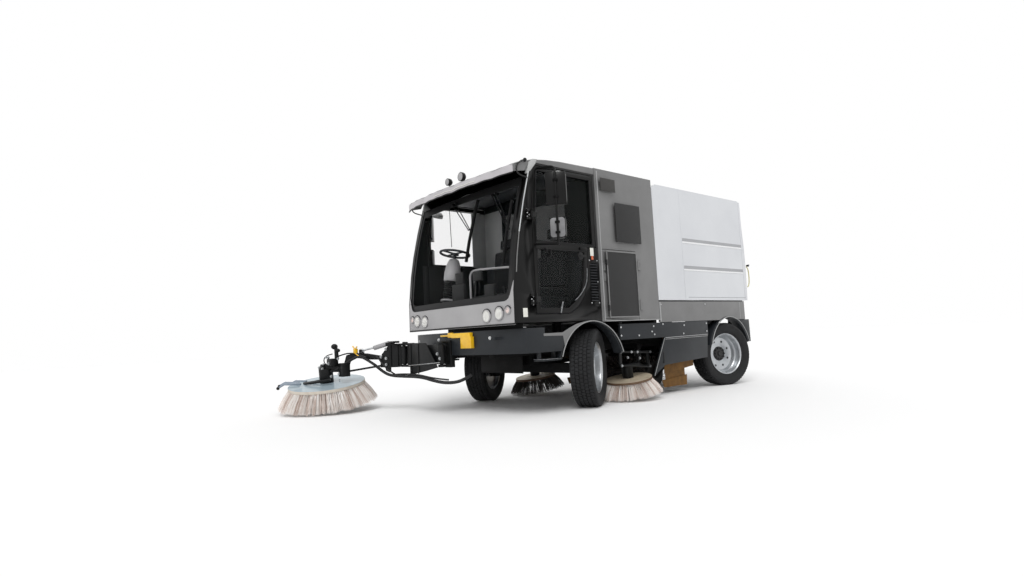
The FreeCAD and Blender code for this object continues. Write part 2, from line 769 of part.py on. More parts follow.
def chassis_frame():
    x0, x1 = rail_x - rail_width / 2, rail_x + rail_width / 2
    rail = block(x0, x1, rail_front_y, sill_rear_y, rail_bottom_z, rail_top_z)
    parts = [rail, mirrored(rail)]
    for y in (-1100.0, -650.0, 250.0, 1050.0, 1950.0, 3220.0):
        parts.append(block(-x1, x1, y, y + 80, rail_bottom_z + 20, rail_top_z - 20))
    for y in (-1000.0, -150.0):
        post = block(x0, x1, y, y + 90, rail_top_z, cab_floor_z)
        parts += [post, mirrored(post)]
    for y in (330.0, 1040.0):
        post = block(x0, body_half - panel - 10, y, y + 60, rail_top_z, engine_floor_z)
        post = join(post, block(body_half - panel - 30, body_half - sill_thickness, y, y + 60,
                                sill_seam_z - 20, engine_floor_z))
        parts += [post, mirrored(post)]
    for y in (1500.0, 2150.0):
        arm = block(x1, body_half - sill_thickness, y, y + 60, rail_top_z - 60, rail_top_z)
        parts += [arm, mirrored(arm)]
    rear = block(-body_half + 20, body_half - 20, sill_rear_y - 48, sill_rear_y, rail_top_z - 60,
                 rail_top_z)
    parts.append(rear)
    lug_y, lug_z = hopper_pivot_y, hopper_pivot_z
    for x in (380.0, 450.0):
        lug = block(x - 12, x + 12, sill_rear_y - 60, lug_y + 35, rail_top_z - 10, lug_z + 30)
        parts += [lug, mirrored(lug)]
    pin = rod(V(368, lug_y, lug_z), V(462, lug_y, lug_z), hopper_pin_radius)
    parts += [pin, mirrored(pin)]
    parts += [tail_panels(), mirrored(tail_panels())]
    for sign in (1, -1):
        x = sign * rail_x
        ends = sorted((sign * (x1 - 1), sign * (carrier_x + 35)))
        parts.append(block(ends[0], ends[1], carrier_y - 40, carrier_y + 40,
                           rail_bottom_z, rail_bottom_z + 60))
        parts.append(rod(V(sign * carrier_x, carrier_y, carrier_low_z + carrier_cap + 2),
                         V(sign * carrier_x, carrier_y, rail_bottom_z + 20), carrier_pin_radius))
        lug = block(x - 20, x + 20, main_pivot_y - 45, main_pivot_y + 45, main_pivot_z - 45,
                    rail_bottom_z + 10)
        parts.append(lug.cut(rod(V(x - 30, main_pivot_y, main_pivot_z), V(x + 30, main_pivot_y, main_pivot_z),
                                 main_tube_radius + fit)))
    base_y, base_z = tip_ram_base.x, tip_ram_base.z
    parts.append(block(-x1, x1, base_y - 95, base_y - 40, rail_bottom_z + 20, rail_top_z - 20))
    for x in (-50, 34):
        parts.append(block(x, x + 16, base_y - 60, base_y + 30, base_z - 30, base_z + 30))
    parts.append(rod(V(-50, base_y, base_z), V(50, base_y, base_z), tip_pin_radius))
    return join(*parts)


hopper_pivot_y = 3390.0
hopper_pivot_z = 1200.0
hopper_pin_radius = 18.0


def hopper_ears():
    ears = []
    hole = rod(V(300, hopper_pivot_y, hopper_pivot_z), V(500, hopper_pivot_y, hopper_pivot_z),
               hopper_pin_radius + fit)
    ear = block(400, 430, gate_y - 60, hopper_pivot_y - 1, hopper_pivot_z - 30, hopper_floor_z)
    ear = join(ear, rod(V(400, hopper_pivot_y, hopper_pivot_z), V(430, hopper_pivot_y, hopper_pivot_z), 36))
    ear = ear.cut(hole)
    eye_y, eye_z = tip_ram_eye.x, tip_ram_eye.z
    ram_ears = [rod(V(-50, eye_y, eye_z), V(50, eye_y, eye_z), tip_pin_radius)]
    for x in (-50, 34):
        ram_ears.append(block(x, x + 16, eye_y - 30, eye_y + 30, eye_z - 28, hopper_floor_z))
    return [ear, mirrored(ear), join(*ram_ears)]


def engine_block():
    return block(-370, 370, 260, 1088, rail_top_z - 20 + touch, 1600)


def steering_axle(y):
    """Axle beam with a leaf spring each side and an upright kingpin at each end."""
    z = wheel_radius
    parts = [block(-kingpin_x, kingpin_x, y - 55, y + 55, z - 60, z + 60)]
    for sign in (1, -1):
        x = sign * kingpin_x
        parts.append(rod(V(x, y, z - 70), V(x, y, z + 70), 52))
        parts.append(rod(V(x, y, z - 128), V(x, y, z + 128), kingpin_radius))
        spring_x = sign * rail_x
        parts.append(block(spring_x - 38, spring_x + 38, y - 440, y + 440, z + 60, z + 100))
        for end in (y - 440, y + 370):
            parts.append(block(spring_x - 30, spring_x + 30, end, end + 70, z + 90, rail_bottom_z))
    return join(*parts)


def knuckle(y):
    z = wheel_radius
    x = kingpin_x
    parts = []
    for low in (z - 125, z + 76):
        parts.append(rod(V(x, y, low), V(x, y, low + 49), 52))
        parts.append(block(x, x + 90, y - 40, y + 40, low, low + 49))
    parts.append(block(x + 62, x + 90, y - 50, y + 50, z - 125, z + 125))
    parts.append(rod(V(x + 80, y, z), V(wheel_centre_x + hub_face - hub_cap - 2, y, z), spindle_radius))
    body = join(*parts)
    return body.cut(rod(V(x, y, z - 130), V(x, y, z + 130), kingpin_radius + fit))


def steered(shape, sign, y, angle):
    """Turn a straight wheel piece about the kingpin of its side."""
    return turned(shape, V(sign * kingpin_x, y, 0), UP, angle)


def tyre():
    half = tyre_width / 2
    bead = rim_width / 2 - 12
    outline = [(bead_radius, -bead), (flange_radius + 2, -bead), (flange_radius + 16, -bead - 14),
               (400, -half), (432, -half), (wheel_radius, -half + 26), (wheel_radius, half - 26),
               (432, half), (400, half), (flange_radius + 16, bead + 14), (flange_radius + 2, bead),
               (bead_radius, bead)]
    return outline


def rim():
    half = rim_width / 2
    inner = bead_radius - 0.3 - rim_wall
    seat_radius = bead_radius - 0.3
    return [(inner, -half), (flange_radius, -half), (flange_radius, -half + 11), (seat_radius, -half + 11),
            (seat_radius, half - 11), (flange_radius, half - 11), (flange_radius, half), (inner, half),
            (inner, web_face), (hub_radius, web_face), (hub_radius, hub_face), (0, hub_face),
            (0, hub_face - hub_cap), (spindle_radius + fit, hub_face - hub_cap),
            (spindle_radius + fit, hub_back), (hub_radius, hub_back), (hub_radius, web_back),
            (inner, web_back)]


def wheel_pieces(x_sign, y):
    centre = V(x_sign * wheel_centre_x, y, wheel_radius)
    axis = V(x_sign, 0, 0)
    return revolved(tyre(), centre, axis, UP), revolved(rim(), centre, axis, UP)


def unit(vector):
    return vector * (1.0 / vector.Length)


def disc_centre(x, y, tilt, tip_radius, drop):
    """Centre of a disc's underside whose lowest bristle tip just clears the ground."""
    up = unit(tilt)
    lean = math.sqrt(1 - up.z ** 2)
    return V(x, y, tip_clearance + drop * up.z + tip_radius * lean)


def tilted(shape, centre, tilt):
    """Place a shape built upright at the origin so that its +Z points along tilt."""
    turn = FreeCAD.Rotation(UP, unit(tilt))
    moved = shape.copy()
    moved.Placement = FreeCAD.Placement(centre, turn)
    return moved


def brush(disc_radius, tip_radius, drop, rim_height):
    """A disc with a ring-shaped cone of bristles under it, upright at the origin."""
    disc = rod(V(0, 0, 0), V(0, 0, rim_height), disc_radius)
    outline = [(disc_radius - 90, 0), (disc_radius - 4, 0), (tip_radius, -drop + 6),
               (tip_radius - 4, -drop), (tip_radius - 160, -drop)]
    bristles = revolved(outline, V(0, 0, 0), UP, LEFTWARD)
    hub = rod(V(0, 0, -40), V(0, 0, rim_height), 60)
    body = join(disc, bristles, hub)
    return body.cut(rod(V(0, 0, -20), V(0, 0, rim_height + 1), shaft_radius + fit))


def brush_motor(rim_height, radius, length):
    """Motor above a brush disc with its shaft down in the disc's hub."""
    body = rod(V(0, 0, rim_height + 6), V(0, 0, rim_height + length), radius)
    shaft = rod(V(0, 0, -18), V(0, 0, rim_height + 10), shaft_radius)
    return join(body, shaft)


def along(shape, origin, target):
    """Place a shape built along +X at the origin so that it runs from origin to target."""
    heading = math.degrees(math.atan2(target.y - origin.y, target.x - origin.x))
    moved = turned(shape, V(0, 0, 0), UP, heading)
    moved.translate(V(origin.x, origin.y, 0))
    return moved


def upright_eye(x, low, high, bore):
    eye = rod(V(x, 0, low), V(x, 0, high), 45)
    return eye, rod(V(x, 0, low - 1), V(x, 0, high + 1), bore + fit)


def fork(x_start, x_pin):
    """Two lugs and the upright pin through them."""
    parts = []
    for low in (boom_low_z, boom_high_z - lug_thickness):
        parts.append(block(x_start, x_pin, -40, 40, low, low + lug_thickness))
        parts.append(rod(V(x_pin, 0, low), V(x_pin, 0, low + lug_thickness), 45))
    parts.append(rod(V(x_pin, 0, boom_low_z), V(x_pin, 0, boom_high_z), boom_pin_radius))
    return parts


def arm_base():
    plate = block(arm_root.x - 60, arm_root.x + 60, beam_front_y - 24, beam_front_y + 40,
                  boom_low_z - 10, boom_high_z + 10)
    turned_fork = []
    for piece in fork(-90, 0):
        piece = turned(piece, V(0, 0, 0), UP, -90)
        piece.translate(V(arm_root.x, arm_root.y, 0))
        turned_fork.append(piece)
    base = join(plate, *turned_fork)
    return base.cut(front_beam())


def boom_inner():
    length = (arm_knee - arm_root).Length
    low, high = boom_low_z + lug_thickness + lug_gap, boom_high_z - lug_thickness - lug_gap
    eye, bore = upright_eye(0, low, high, boom_pin_radius)
    web = block(30, length - 130, -boom_half, boom_half, low, high)
    ends = fork(length - 190, length)
    step = block(length - 190, length - 130, -boom_half, boom_half, boom_low_z, boom_high_z)
    return along(join(eye, web, step, *ends).cut(bore), arm_root, arm_knee)


def arm_target():
    return V(front_brush_x, front_brush_y, 0)


def boom_outer():
    low, high = boom_low_z + lug_thickness + lug_gap, boom_high_z - lug_thickness - lug_gap
    eye, bore = upright_eye(0, low, high, boom_pin_radius)
    web = block(30, 70, -boom_half, boom_half, low, high)
    box = block(64, 195, -52, 52, boom_low_z, boom_high_z)
    cheeks = []
    for y in (-52, 38):
        outline = [(150, boom_low_z), (link_start_s + 25, link_start_z - link_spacing - 26),
                   (link_start_s + 25, link_start_z + 30), (150, link_start_z + 60)]
        cheek = prism([V(s, y, z) for s, z in outline], V(0, 14, 0))
        cheeks.append(cheek)
        ear = block(ram_top_s - 60, ram_top_s + 18, y, y + 14, ram_top_z - 30, ram_top_z + 18)
        cheeks.append(ear)
    pins = []
    for z in (link_start_z, link_start_z - link_spacing):
        pins.append(rod(V(link_start_s, -52, z), V(link_start_s, 52, z), link_pin_radius))
    pins.append(rod(V(ram_top_s, -52, ram_top_z), V(ram_top_s, 52, ram_top_z), link_pin_radius))
    return along(join(eye, web, box, *cheeks, *pins).cut(bore), arm_knee, arm_target())


def cross_hole(s, z, radius, half):
    return rod(V(s, -half, z), V(s, half, z), radius)


def lift_arm():
    s0, z0 = link_start_s, link_start_z
    s1, z1 = s0 + link_length, z0 - link_fall
    outline = [(s0 - 24, z0 - 20), (s0, z0 + 26), (s0 + 260, z0 + 72), (s0 + 430, z0 + 84),
               (s1 - 20, z0 + 60), (s1 + 22, z1 + 10), (s1, z1 - 24), (s1 - 40, z1 - 10),
               (s1 - 70, z1 + 66), (s0 + 400, z0 + 16), (s0 + 200, z0 - 10)]
    bar = prism([V(s, -24, z) for s, z in outline], V(0, 48, 0))
    ears = []
    for y in (-40, 26):
        ears.append(block(ram_eye_s - 16, ram_eye_s + 16, y, y + 14, z0 + 30, ram_eye_z + 14))
    base = block(ram_eye_s - 16, ram_eye_s + 16, -40, 40, z0 + 30, z0 + 60)
    pin = cross_hole(ram_eye_s, ram_eye_z, ram_eye_pin_radius, 40)
    arm = join(bar, base, pin, *ears)
    for s, z in ((s0, z0), (s1, z1)):
        arm = join(arm, cross_hole(s, z, 28, 24))
    for s, z in ((s0, z0), (s1, z1)):
        arm = arm.cut(cross_hole(s, z, link_pin_radius + fit, 60))
    return along(arm, arm_knee, arm_target())


def tie_bar():
    s0, z0 = link_start_s, link_start_z - link_spacing
    s1, z1 = s0 + link_length, z0 - link_fall
    bar = rod(V(s0, 0, z0), V(s1, 0, z1), tie_bar_radius)
    for s, z in ((s0, z0), (s1, z1)):
        bar = join(bar, cross_hole(s, z, 24, 20))
    for s, z in ((s0, z0), (s1, z1)):
        bar = bar.cut(cross_hole(s, z, link_pin_radius + fit, 60))
    return along(bar, arm_knee, arm_target())


def front_disc():
    return disc_centre(front_brush_x, front_brush_y, front_tilt, front_tip_radius, front_bristle_drop)


def brush_head():
    s1 = link_start_s + link_length
    z1 = link_start_z - link_fall
    reach = (arm_target() - arm_knee).Length
    parts = []
    for y in (-44, 30):
        outline = [(s1 - 24, z1 - link_spacing - 24), (s1 - 24, z1 + 24), (s1 + 70, z1 + 24),
                   (s1 + 70, z1 - link_spacing - 24)]
        parts.append(prism([V(s, y, z) for s, z in outline], V(0, 14, 0)))
    parts.append(block(s1 + 48, reach + 70, -44, 44, z1 - 90, z1 + 20))
    for z in (z1, z1 - link_spacing):
        parts.append(cross_hole(s1, z, link_pin_radius, 44))
    frame = along(join(*parts), arm_knee, arm_target())
    motor = tilted(brush_motor(front_disc_rim, 92, 190), front_disc(), front_tilt)
    return join(frame, motor)


def ram(base, eye, bore, rod_radius, barrel_length, pin_radius, eye_bore, half, rod_start):
    """Barrel and rod of a cylinder whose pins lie along Y, in the XZ plane."""
    way = unit(eye - base)
    across = V(0, 1, 0)
    barrel = join(rod(base + way * (bore + 20), base + way * barrel_length, bore),
                  rod(base, base + way * (bore + 24), half - 4),
                  rod(base - across * half, base + across * half, pin_radius + 12))
    barrel = barrel.cut(rod(base + way * (bore + 30), base + way * (barrel_length + 1), rod_radius + 0.5))
    barrel = barrel.cut(rod(base - across * 99, base + across * 99, pin_radius + fit))
    piston = join(rod(base + way * rod_start, eye, rod_radius),
                  rod(eye - across * half, eye + across * half, eye_bore + 9))
    piston = piston.cut(rod(eye - across * 99, eye + across * 99, eye_bore))
    return barrel, piston


def lift_ram():
    base = V(ram_top_s, 0, ram_top_z)
    eye = V(ram_eye_s, 0, ram_eye_z)
    barrel, piston = ram(base, eye, 24, 12, 228, link_pin_radius, ram_eye_pin_radius + 9, 18, 195)
    return along(barrel, arm_knee, arm_target()), along(piston, arm_knee, arm_target())


tip_ram_base = V(2600.0, 0.0, 700.0)
tip_ram_eye = V(3100.0, 0.0, 1205.0)
tip_pin_radius = 12.0


def tip_ram():
    """Tipping cylinder, built along X and turned so that it lies along Y."""
    barrel, piston = ram(tip_ram_base, tip_ram_eye, 45, 28, 590, tip_pin_radius, tip_pin_radius + 24.2, 30,
                         90)
    return turned(barrel, V(0, 0, 0), UP, 90), turned(piston, V(0, 0, 0), UP, 90)


def side_carrier():
    """Swings about an upright pin under the frame and carries an upright guide for the arm."""
    foot, top = V(carrier_x, carrier_y, carrier_low_z), V(carrier_x, carrier_y, carrier_high_z)
    eye = rod(foot, top, carrier_pin_radius * 2 + 2)
    low = V(carrier_x, carrier_y, guide_low_z)
    guide = rod(low, foot + UP, guide_radius)
    stop = rod(low, low + UP * 12, sleeve_radius)
    return join(eye, guide, stop).cut(rod(foot + UP * carrier_cap, top + UP, carrier_pin_radius + fit))


def side_disc():
    return disc_centre(side_brush_x, side_brush_y, side_tilt, side_tip_radius, side_bristle_drop)


def side_arm():
    """Sleeve on the carrier's guide with a plate forward to the motor over the brush."""
    top = side_arm_z + side_arm_depth
    sleeve = rod(V(carrier_x, carrier_y, sleeve_low_z), V(carrier_x, carrier_y, top), sleeve_radius)
    head = side_disc() + unit(side_tilt) * (side_arm_z - side_disc().z)
    plate = prism([V(carrier_x - 30, carrier_y, side_arm_z), V(carrier_x + 30, carrier_y, side_arm_z),
                   V(head.x + 45, head.y, side_arm_z), V(head.x - 45, head.y, side_arm_z)],
                  UP * side_arm_depth)
    cap = rod(V(head.x, head.y, side_arm_z), V(head.x, head.y, top), side_motor_radius + 10)
    length = side_arm_z - side_disc().z - side_disc_rim + 10
    motor = tilted(brush_motor(side_disc_rim, side_motor_radius, length), side_disc(), side_tilt)
    bore = rod(V(carrier_x, carrier_y, sleeve_low_z - 1), V(carrier_x, carrier_y, top + 1),
               guide_radius + fit)
    return join(sleeve, plate, cap, motor).cut(bore)


def main_brush():
    z = tip_clearance + main_brush_radius
    core = rod(V(-main_brush_half, main_brush_y, z), V(main_brush_half, main_brush_y, z),
               main_brush_radius)
    shaft = rod(V(-main_brush_half - 30, main_brush_y, z), V(main_brush_half + 30, main_brush_y, z),
                main_shaft_radius)
    return join(core, shaft)


def main_brush_frame():
    z = tip_clearance + main_brush_radius
    arms = []
    for sign in (1, -1):
        x0 = sign * (main_brush_half + 8)
        x1 = sign * (main_brush_half + 30)
        low, high = min(x0, x1), max(x0, x1)
        arms.append(rod(V(low, main_brush_y, z), V(high, main_brush_y, z), 60))
        arms.append(rod(V(low, main_pivot_y, main_pivot_z), V(high, main_pivot_y, main_pivot_z), 50))
        outline = [(main_brush_y - 30, z + 50), (main_pivot_y - 30, main_pivot_z + 40),
                   (main_pivot_y + 30, main_pivot_z - 40), (main_brush_y + 30, z - 50)]
        arms.append(side_plate(outline, low, high))
    tube = rod(V(-main_brush_half - 30, main_pivot_y, main_pivot_z),
               V(main_brush_half + 30, main_pivot_y, main_pivot_z), main_tube_radius)
    body = join(tube, *arms)
    return body.cut(rod(V(-main_brush_half - 40, main_brush_y, z), V(main_brush_half + 40, main_brush_y, z),
                        main_shaft_radius + fit))


def lock_lever():
    """Yellow bar, knuckle, body and tail, each as its ends along X and its heights, on the beam's face."""
    parts = []
    for x0, x1, z0, z1 in ((-254, -60, 915, 935), (-95, -10, 900, 958), (-20, 350, 893, 948),
                           (165, 369, 769, 900)):
        parts.append(block(x0, x1, beam_front_y - 30, beam_front_y + 40, z0, z1))
    return join(*parts).cut(front_beam())


def front_apron():
    """Guard plate hung under the rails behind the beam."""
    inner = rail_x - rail_width / 2 - touch
    lower = block(-rail_x, rail_x, -712, -702, 430, rail_bottom_z - touch)
    upper = block(-inner, inner, -712, -702, 430, beam_bottom_z)
    return join(lower, upper)


nodes = {}


def add(name, shape):
    nodes[name] = shape


add("chassis_frame", chassis_frame())
add("front_beam", join(front_beam(), tow_eye(), side_steps(), mirrored(side_steps())))
posts = [hinge_post(door_hinge_y, z, 1) for z in door_hinge_heights]
add("cab_shell", join(cab_shell(), *posts, *[mirrored(post) for post in posts]))
add("cab_roof", join(cab_roof(), sun_visor()))
add("front_panel", front_panel())
add("windscreen", windscreen())
add("lamps", Part.makeCompound(headlamps().Solids + work_lamps().Solids))
add("wipers", wipers())
add("dashboard", join(dashboard(), steering_column()))
add("steering_wheel", steering_wheel())
add("seats", both(seat(seat_x)))
door, panes = door_panel()
add("door_left", door)
add("door_right", mirrored(door))
add("door_glass_left", door_glass_panes())
add("door_glass_right", mirrored(door_glass_panes()))
add("engine_housing", engine_housing())
add("engine_door_left", engine_door())
add("engine_door_right", mirrored(engine_door()))
add("engine_block", engine_block())
add("hopper", join(hopper(), *hopper_ears()))
add("tailgate", tailgate())
add("sill_panels", both(sill_panels()))
add("side_beams", both(join(*side_beams(), skirts(), arch(front_arch_y, arch_inner_x),
                            arch(rear_arch_y, arch_inner_x))))
add("rubber_flaps", rubber_flaps())
for place, axle_y, angle in (("front", front_axle_y, front_steer), ("rear", rear_axle_y, rear_steer)):
    add(place + "_axle", steering_axle(axle_y))
    for side, sign in (("left", 1), ("right", -1)):
        link = knuckle(axle_y) if sign > 0 else mirrored(knuckle(axle_y))
        add(place + "_knuckle_" + side, steered(link, sign, axle_y, angle))
        tyre_piece, rim_piece = wheel_pieces(sign, axle_y)
        add(place + "_tyre_" + side, steered(tyre_piece, sign, axle_y, angle))
        add(place + "_rim_" + side, steered(rim_piece, sign, axle_y, angle))
add("arm_base", arm_base())
add("lock_lever", lock_lever())
add("front_apron", front_apron())
add("boom_inner", boom_inner())
add("boom_outer", boom_outer())
add("lift_arm", lift_arm())
add("tie_bar", tie_bar())
add("brush_head", brush_head())
lift_barrel, lift_rod = lift_ram()
add("lift_barrel", lift_barrel)
add("lift_rod", lift_rod)
add("front_brush", tilted(brush(front_disc_radius, front_tip_radius, front_bristle_drop,
                                front_disc_rim), front_disc(), front_tilt))
side_brush = tilted(brush(side_disc_radius, side_tip_radius, side_bristle_drop, side_disc_rim),
                    side_disc(), side_tilt)
for name, shape in (("side_carrier", side_carrier()), ("side_arm", side_arm()),
                    ("side_brush", side_brush)):
    add(name + "_left", shape)
    add(name + "_right", mirrored(shape))
add("main_brush", main_brush())
add("main_brush_frame", main_brush_frame())
tip_barrel, tip_rod = tip_ram()
add("tip_barrel", tip_barrel)
add("tip_rod", tip_rod)

os.makedirs("parts", exist_ok=True)
box = Part.makeCompound(list(nodes.values())).BoundBox
origin = V((box.XMin + box.XMax) / 2, (box.YMin + box.YMax) / 2, box.ZMin)
print("origin", origin.x, origin.y, origin.z, "size", box.XLength, box.YLength, box.ZLength)
for name, shape in nodes.items():
    placed = shape.copy()
    placed.translate(origin * -1)
    placed.exportStep("parts/" + name + ".step")
    print(name, len(placed.Solids), round(placed.Volume / 1e6, 2), placed.isValid())
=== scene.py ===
import bpy
import bmesh
import json
import math
import random
from mathutils import Matrix, Vector


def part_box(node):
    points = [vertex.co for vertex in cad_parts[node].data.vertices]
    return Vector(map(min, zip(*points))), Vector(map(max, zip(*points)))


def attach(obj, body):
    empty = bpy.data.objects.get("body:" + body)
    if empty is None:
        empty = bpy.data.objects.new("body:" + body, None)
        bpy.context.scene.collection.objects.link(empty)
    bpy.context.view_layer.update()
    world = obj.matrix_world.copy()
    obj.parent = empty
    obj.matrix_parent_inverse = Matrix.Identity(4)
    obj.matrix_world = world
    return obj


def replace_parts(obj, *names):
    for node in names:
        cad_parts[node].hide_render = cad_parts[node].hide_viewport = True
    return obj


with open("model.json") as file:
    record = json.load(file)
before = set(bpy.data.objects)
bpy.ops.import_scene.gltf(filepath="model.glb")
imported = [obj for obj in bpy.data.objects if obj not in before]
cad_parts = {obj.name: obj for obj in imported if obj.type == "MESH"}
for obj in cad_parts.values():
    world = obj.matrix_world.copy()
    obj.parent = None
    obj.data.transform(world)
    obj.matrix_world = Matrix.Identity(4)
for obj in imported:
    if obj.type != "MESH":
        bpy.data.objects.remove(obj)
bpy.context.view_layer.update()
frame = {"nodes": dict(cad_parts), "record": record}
scene = bpy.context.scene
nodes = frame["nodes"]
print("frame loaded")

# The truck's own millimetres: x from its centreline to its left, y back from the cab's rear seam, z up
millimetre = 0.001
seamGap = 4
cabLow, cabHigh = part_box("cab_shell")
centreX = (cabLow.x + cabHigh.x) / 2
seamY = cabHigh.y + seamGap * millimetre
toFrame = Matrix.Translation((centreX, seamY, 0)) @ Matrix.Scale(millimetre, 4)


def place(x, y, z):
    return toFrame @ Vector((x, y, z))


def linear(hexColour):
    channels = []
    for start in (1, 3, 5):
        value = int(hexColour[start:start + 2], 16) / 255
        channels.append(value / 12.92 if value <= 0.04045 else ((value + 0.055) / 1.055) ** 2.4)
    return (*channels, 1)


# Camera, at the photograph's eye point
camera = {
    "eye": (5816.5, -5380.4, 877.4),
    "yaw": 0.869337,
    "pitch": 0.082082,
    "roll": -0.050133,
    "lens": 20.75,
    "sensor": 36,
}


def makeCamera():
    yaw, pitch, roll = camera["yaw"], camera["pitch"], camera["roll"]
    ahead = Vector((-math.sin(yaw) * math.cos(pitch), math.cos(yaw) * math.cos(pitch), math.sin(pitch)))
    right = Vector((math.cos(yaw), math.sin(yaw), 0))
    upward = right.cross(ahead)
    rolledRight = math.cos(roll) * right + math.sin(roll) * upward
    rolledUp = -math.sin(roll) * right + math.cos(roll) * upward
    turn = Matrix((rolledRight, rolledUp, -ahead)).transposed()
    data = bpy.data.cameras.new("camera")
    data.lens = camera["lens"]
    data.sensor_width = camera["sensor"]
    data.sensor_fit = "HORIZONTAL"
    data.clip_end = 200
    holder = bpy.data.objects.new("camera", data)
    holder.matrix_world = Matrix.Translation(place(*camera["eye"])) @ turn.to_4x4()
    scene.collection.objects.link(holder)
    scene.camera = holder


makeCamera()


# Materials

def addNode(tree, kind, settings=None, links=None):
    node = tree.nodes.new(kind)
    for key, value in (settings or {}).items():
        if hasattr(node, key):
            setattr(node, key, value)
        else:
            node.inputs[key].default_value = value
    for key, source in (links or {}).items():
        tree.links.new(source, node.inputs[key])
    return node


def newMaterial(name, settings):
    material = bpy.data.materials.new(name)
    material.use_nodes = True
    tree = material.node_tree
    shader = tree.nodes["Principled BSDF"]
    for key, value in settings.items():
        shader.inputs[key].default_value = value
    return material, tree, shader


def paint(name, light, dark, grimeSize=400, roughness=0.35, coat=0.5, metallic=0.0, peel=6, peelDepth=0.02,
          grime=0.5, spread=0.08, specular=0.4):
    # sprayed paint: a faint orange peel in its gloss and a dusting of road film in wide clouds
    material, tree, shader = newMaterial(name, {"Metallic": metallic, "Coat Weight": coat,
                                                "Coat Roughness": 0.12, "Specular IOR Level": specular})
    spot = addNode(tree, "ShaderNodeTexCoord")
    clouds = addNode(tree, "ShaderNodeTexNoise",
                     {"Scale": 1000 / grimeSize, "Detail": 6, "Roughness": 0.6},
                     {"Vector": spot.outputs["Object"]})
    ramp = addNode(tree, "ShaderNodeValToRGB", {}, {"Fac": clouds.outputs["Fac"]})
    ramp.color_ramp.elements[0].position = 0.5 - grime / 2
    ramp.color_ramp.elements[0].color = linear(dark)
    ramp.color_ramp.elements[1].position = 0.5 + grime / 2
    ramp.color_ramp.elements[1].color = linear(light)
    tree.links.new(ramp.outputs["Color"], shader.inputs["Base Color"])
    gloss = addNode(tree, "ShaderNodeMapRange",
                    {"To Min": roughness + spread, "To Max": roughness - spread},
                    {"Value": clouds.outputs["Fac"]})
    tree.links.new(gloss.outputs["Result"], shader.inputs["Roughness"])
    skin = addNode(tree, "ShaderNodeTexNoise", {"Scale": 1000 / peel, "Detail": 2},
                   {"Vector": spot.outputs["Object"]})
    bump = addNode(tree, "ShaderNodeBump", {"Strength": 0.35, "Distance": peelDepth * millimetre * 10},
                   {"Height": skin.outputs["Fac"]})
    tree.links.new(bump.outputs["Normal"], shader.inputs["Normal"])
    return material


def clearGlass(name, tint, dusty, level=0.2, ior=1.3):
    # toughened glass: see-through by its low alpha, with a faint tint and a film of dust in its colour
    material, tree, shader = newMaterial(name, {"Roughness": 0.02, "IOR": ior, "Alpha": level})
    spot = addNode(tree, "ShaderNodeTexCoord")
    film = addNode(tree, "ShaderNodeTexNoise", {"Scale": 3.0, "Detail": 5},
                   {"Vector": spot.outputs["Object"]})
    ramp = addNode(tree, "ShaderNodeValToRGB", {}, {"Fac": film.outputs["Fac"]})
    ramp.color_ramp.elements[0].color = linear(tint)
    ramp.color_ramp.elements[1].color = linear(dusty)
    tree.links.new(ramp.outputs["Color"], shader.inputs["Base Color"])
    return material


def rubberLike(name, light, dark, grain=3, roughness=0.75, depth=0.3):
    # moulded rubber: matt, with fine grit and paler dust where it scuffs
    material, tree, shader = newMaterial(name, {"Specular IOR Level": 0.35})
    spot = addNode(tree, "ShaderNodeTexCoord")
    dust = addNode(tree, "ShaderNodeTexNoise", {"Scale": 9, "Detail": 8, "Roughness": 0.7},
                   {"Vector": spot.outputs["Object"]})
    ramp = addNode(tree, "ShaderNodeValToRGB", {}, {"Fac": dust.outputs["Fac"]})
    ramp.color_ramp.elements[0].position = 0.35
    ramp.color_ramp.elements[0].color = linear(dark)
    ramp.color_ramp.elements[1].position = 0.75
    ramp.color_ramp.elements[1].color = linear(light)
    tree.links.new(ramp.outputs["Color"], shader.inputs["Base Color"])
    gloss = addNode(tree, "ShaderNodeMapRange", {"To Min": roughness - 0.12, "To Max": roughness + 0.1},
                    {"Value": dust.outputs["Fac"]})
    tree.links.new(gloss.outputs["Result"], shader.inputs["Roughness"])
    grit = addNode(tree, "ShaderNodeTexNoise", {"Scale": 1000 / grain, "Detail": 3},
                   {"Vector": spot.outputs["Object"]})
    bump = addNode(tree, "ShaderNodeBump", {"Strength": 0.4, "Distance": depth * millimetre},
                   {"Height": grit.outputs["Fac"]})
    tree.links.new(bump.outputs["Normal"], shader.inputs["Normal"])
    return material


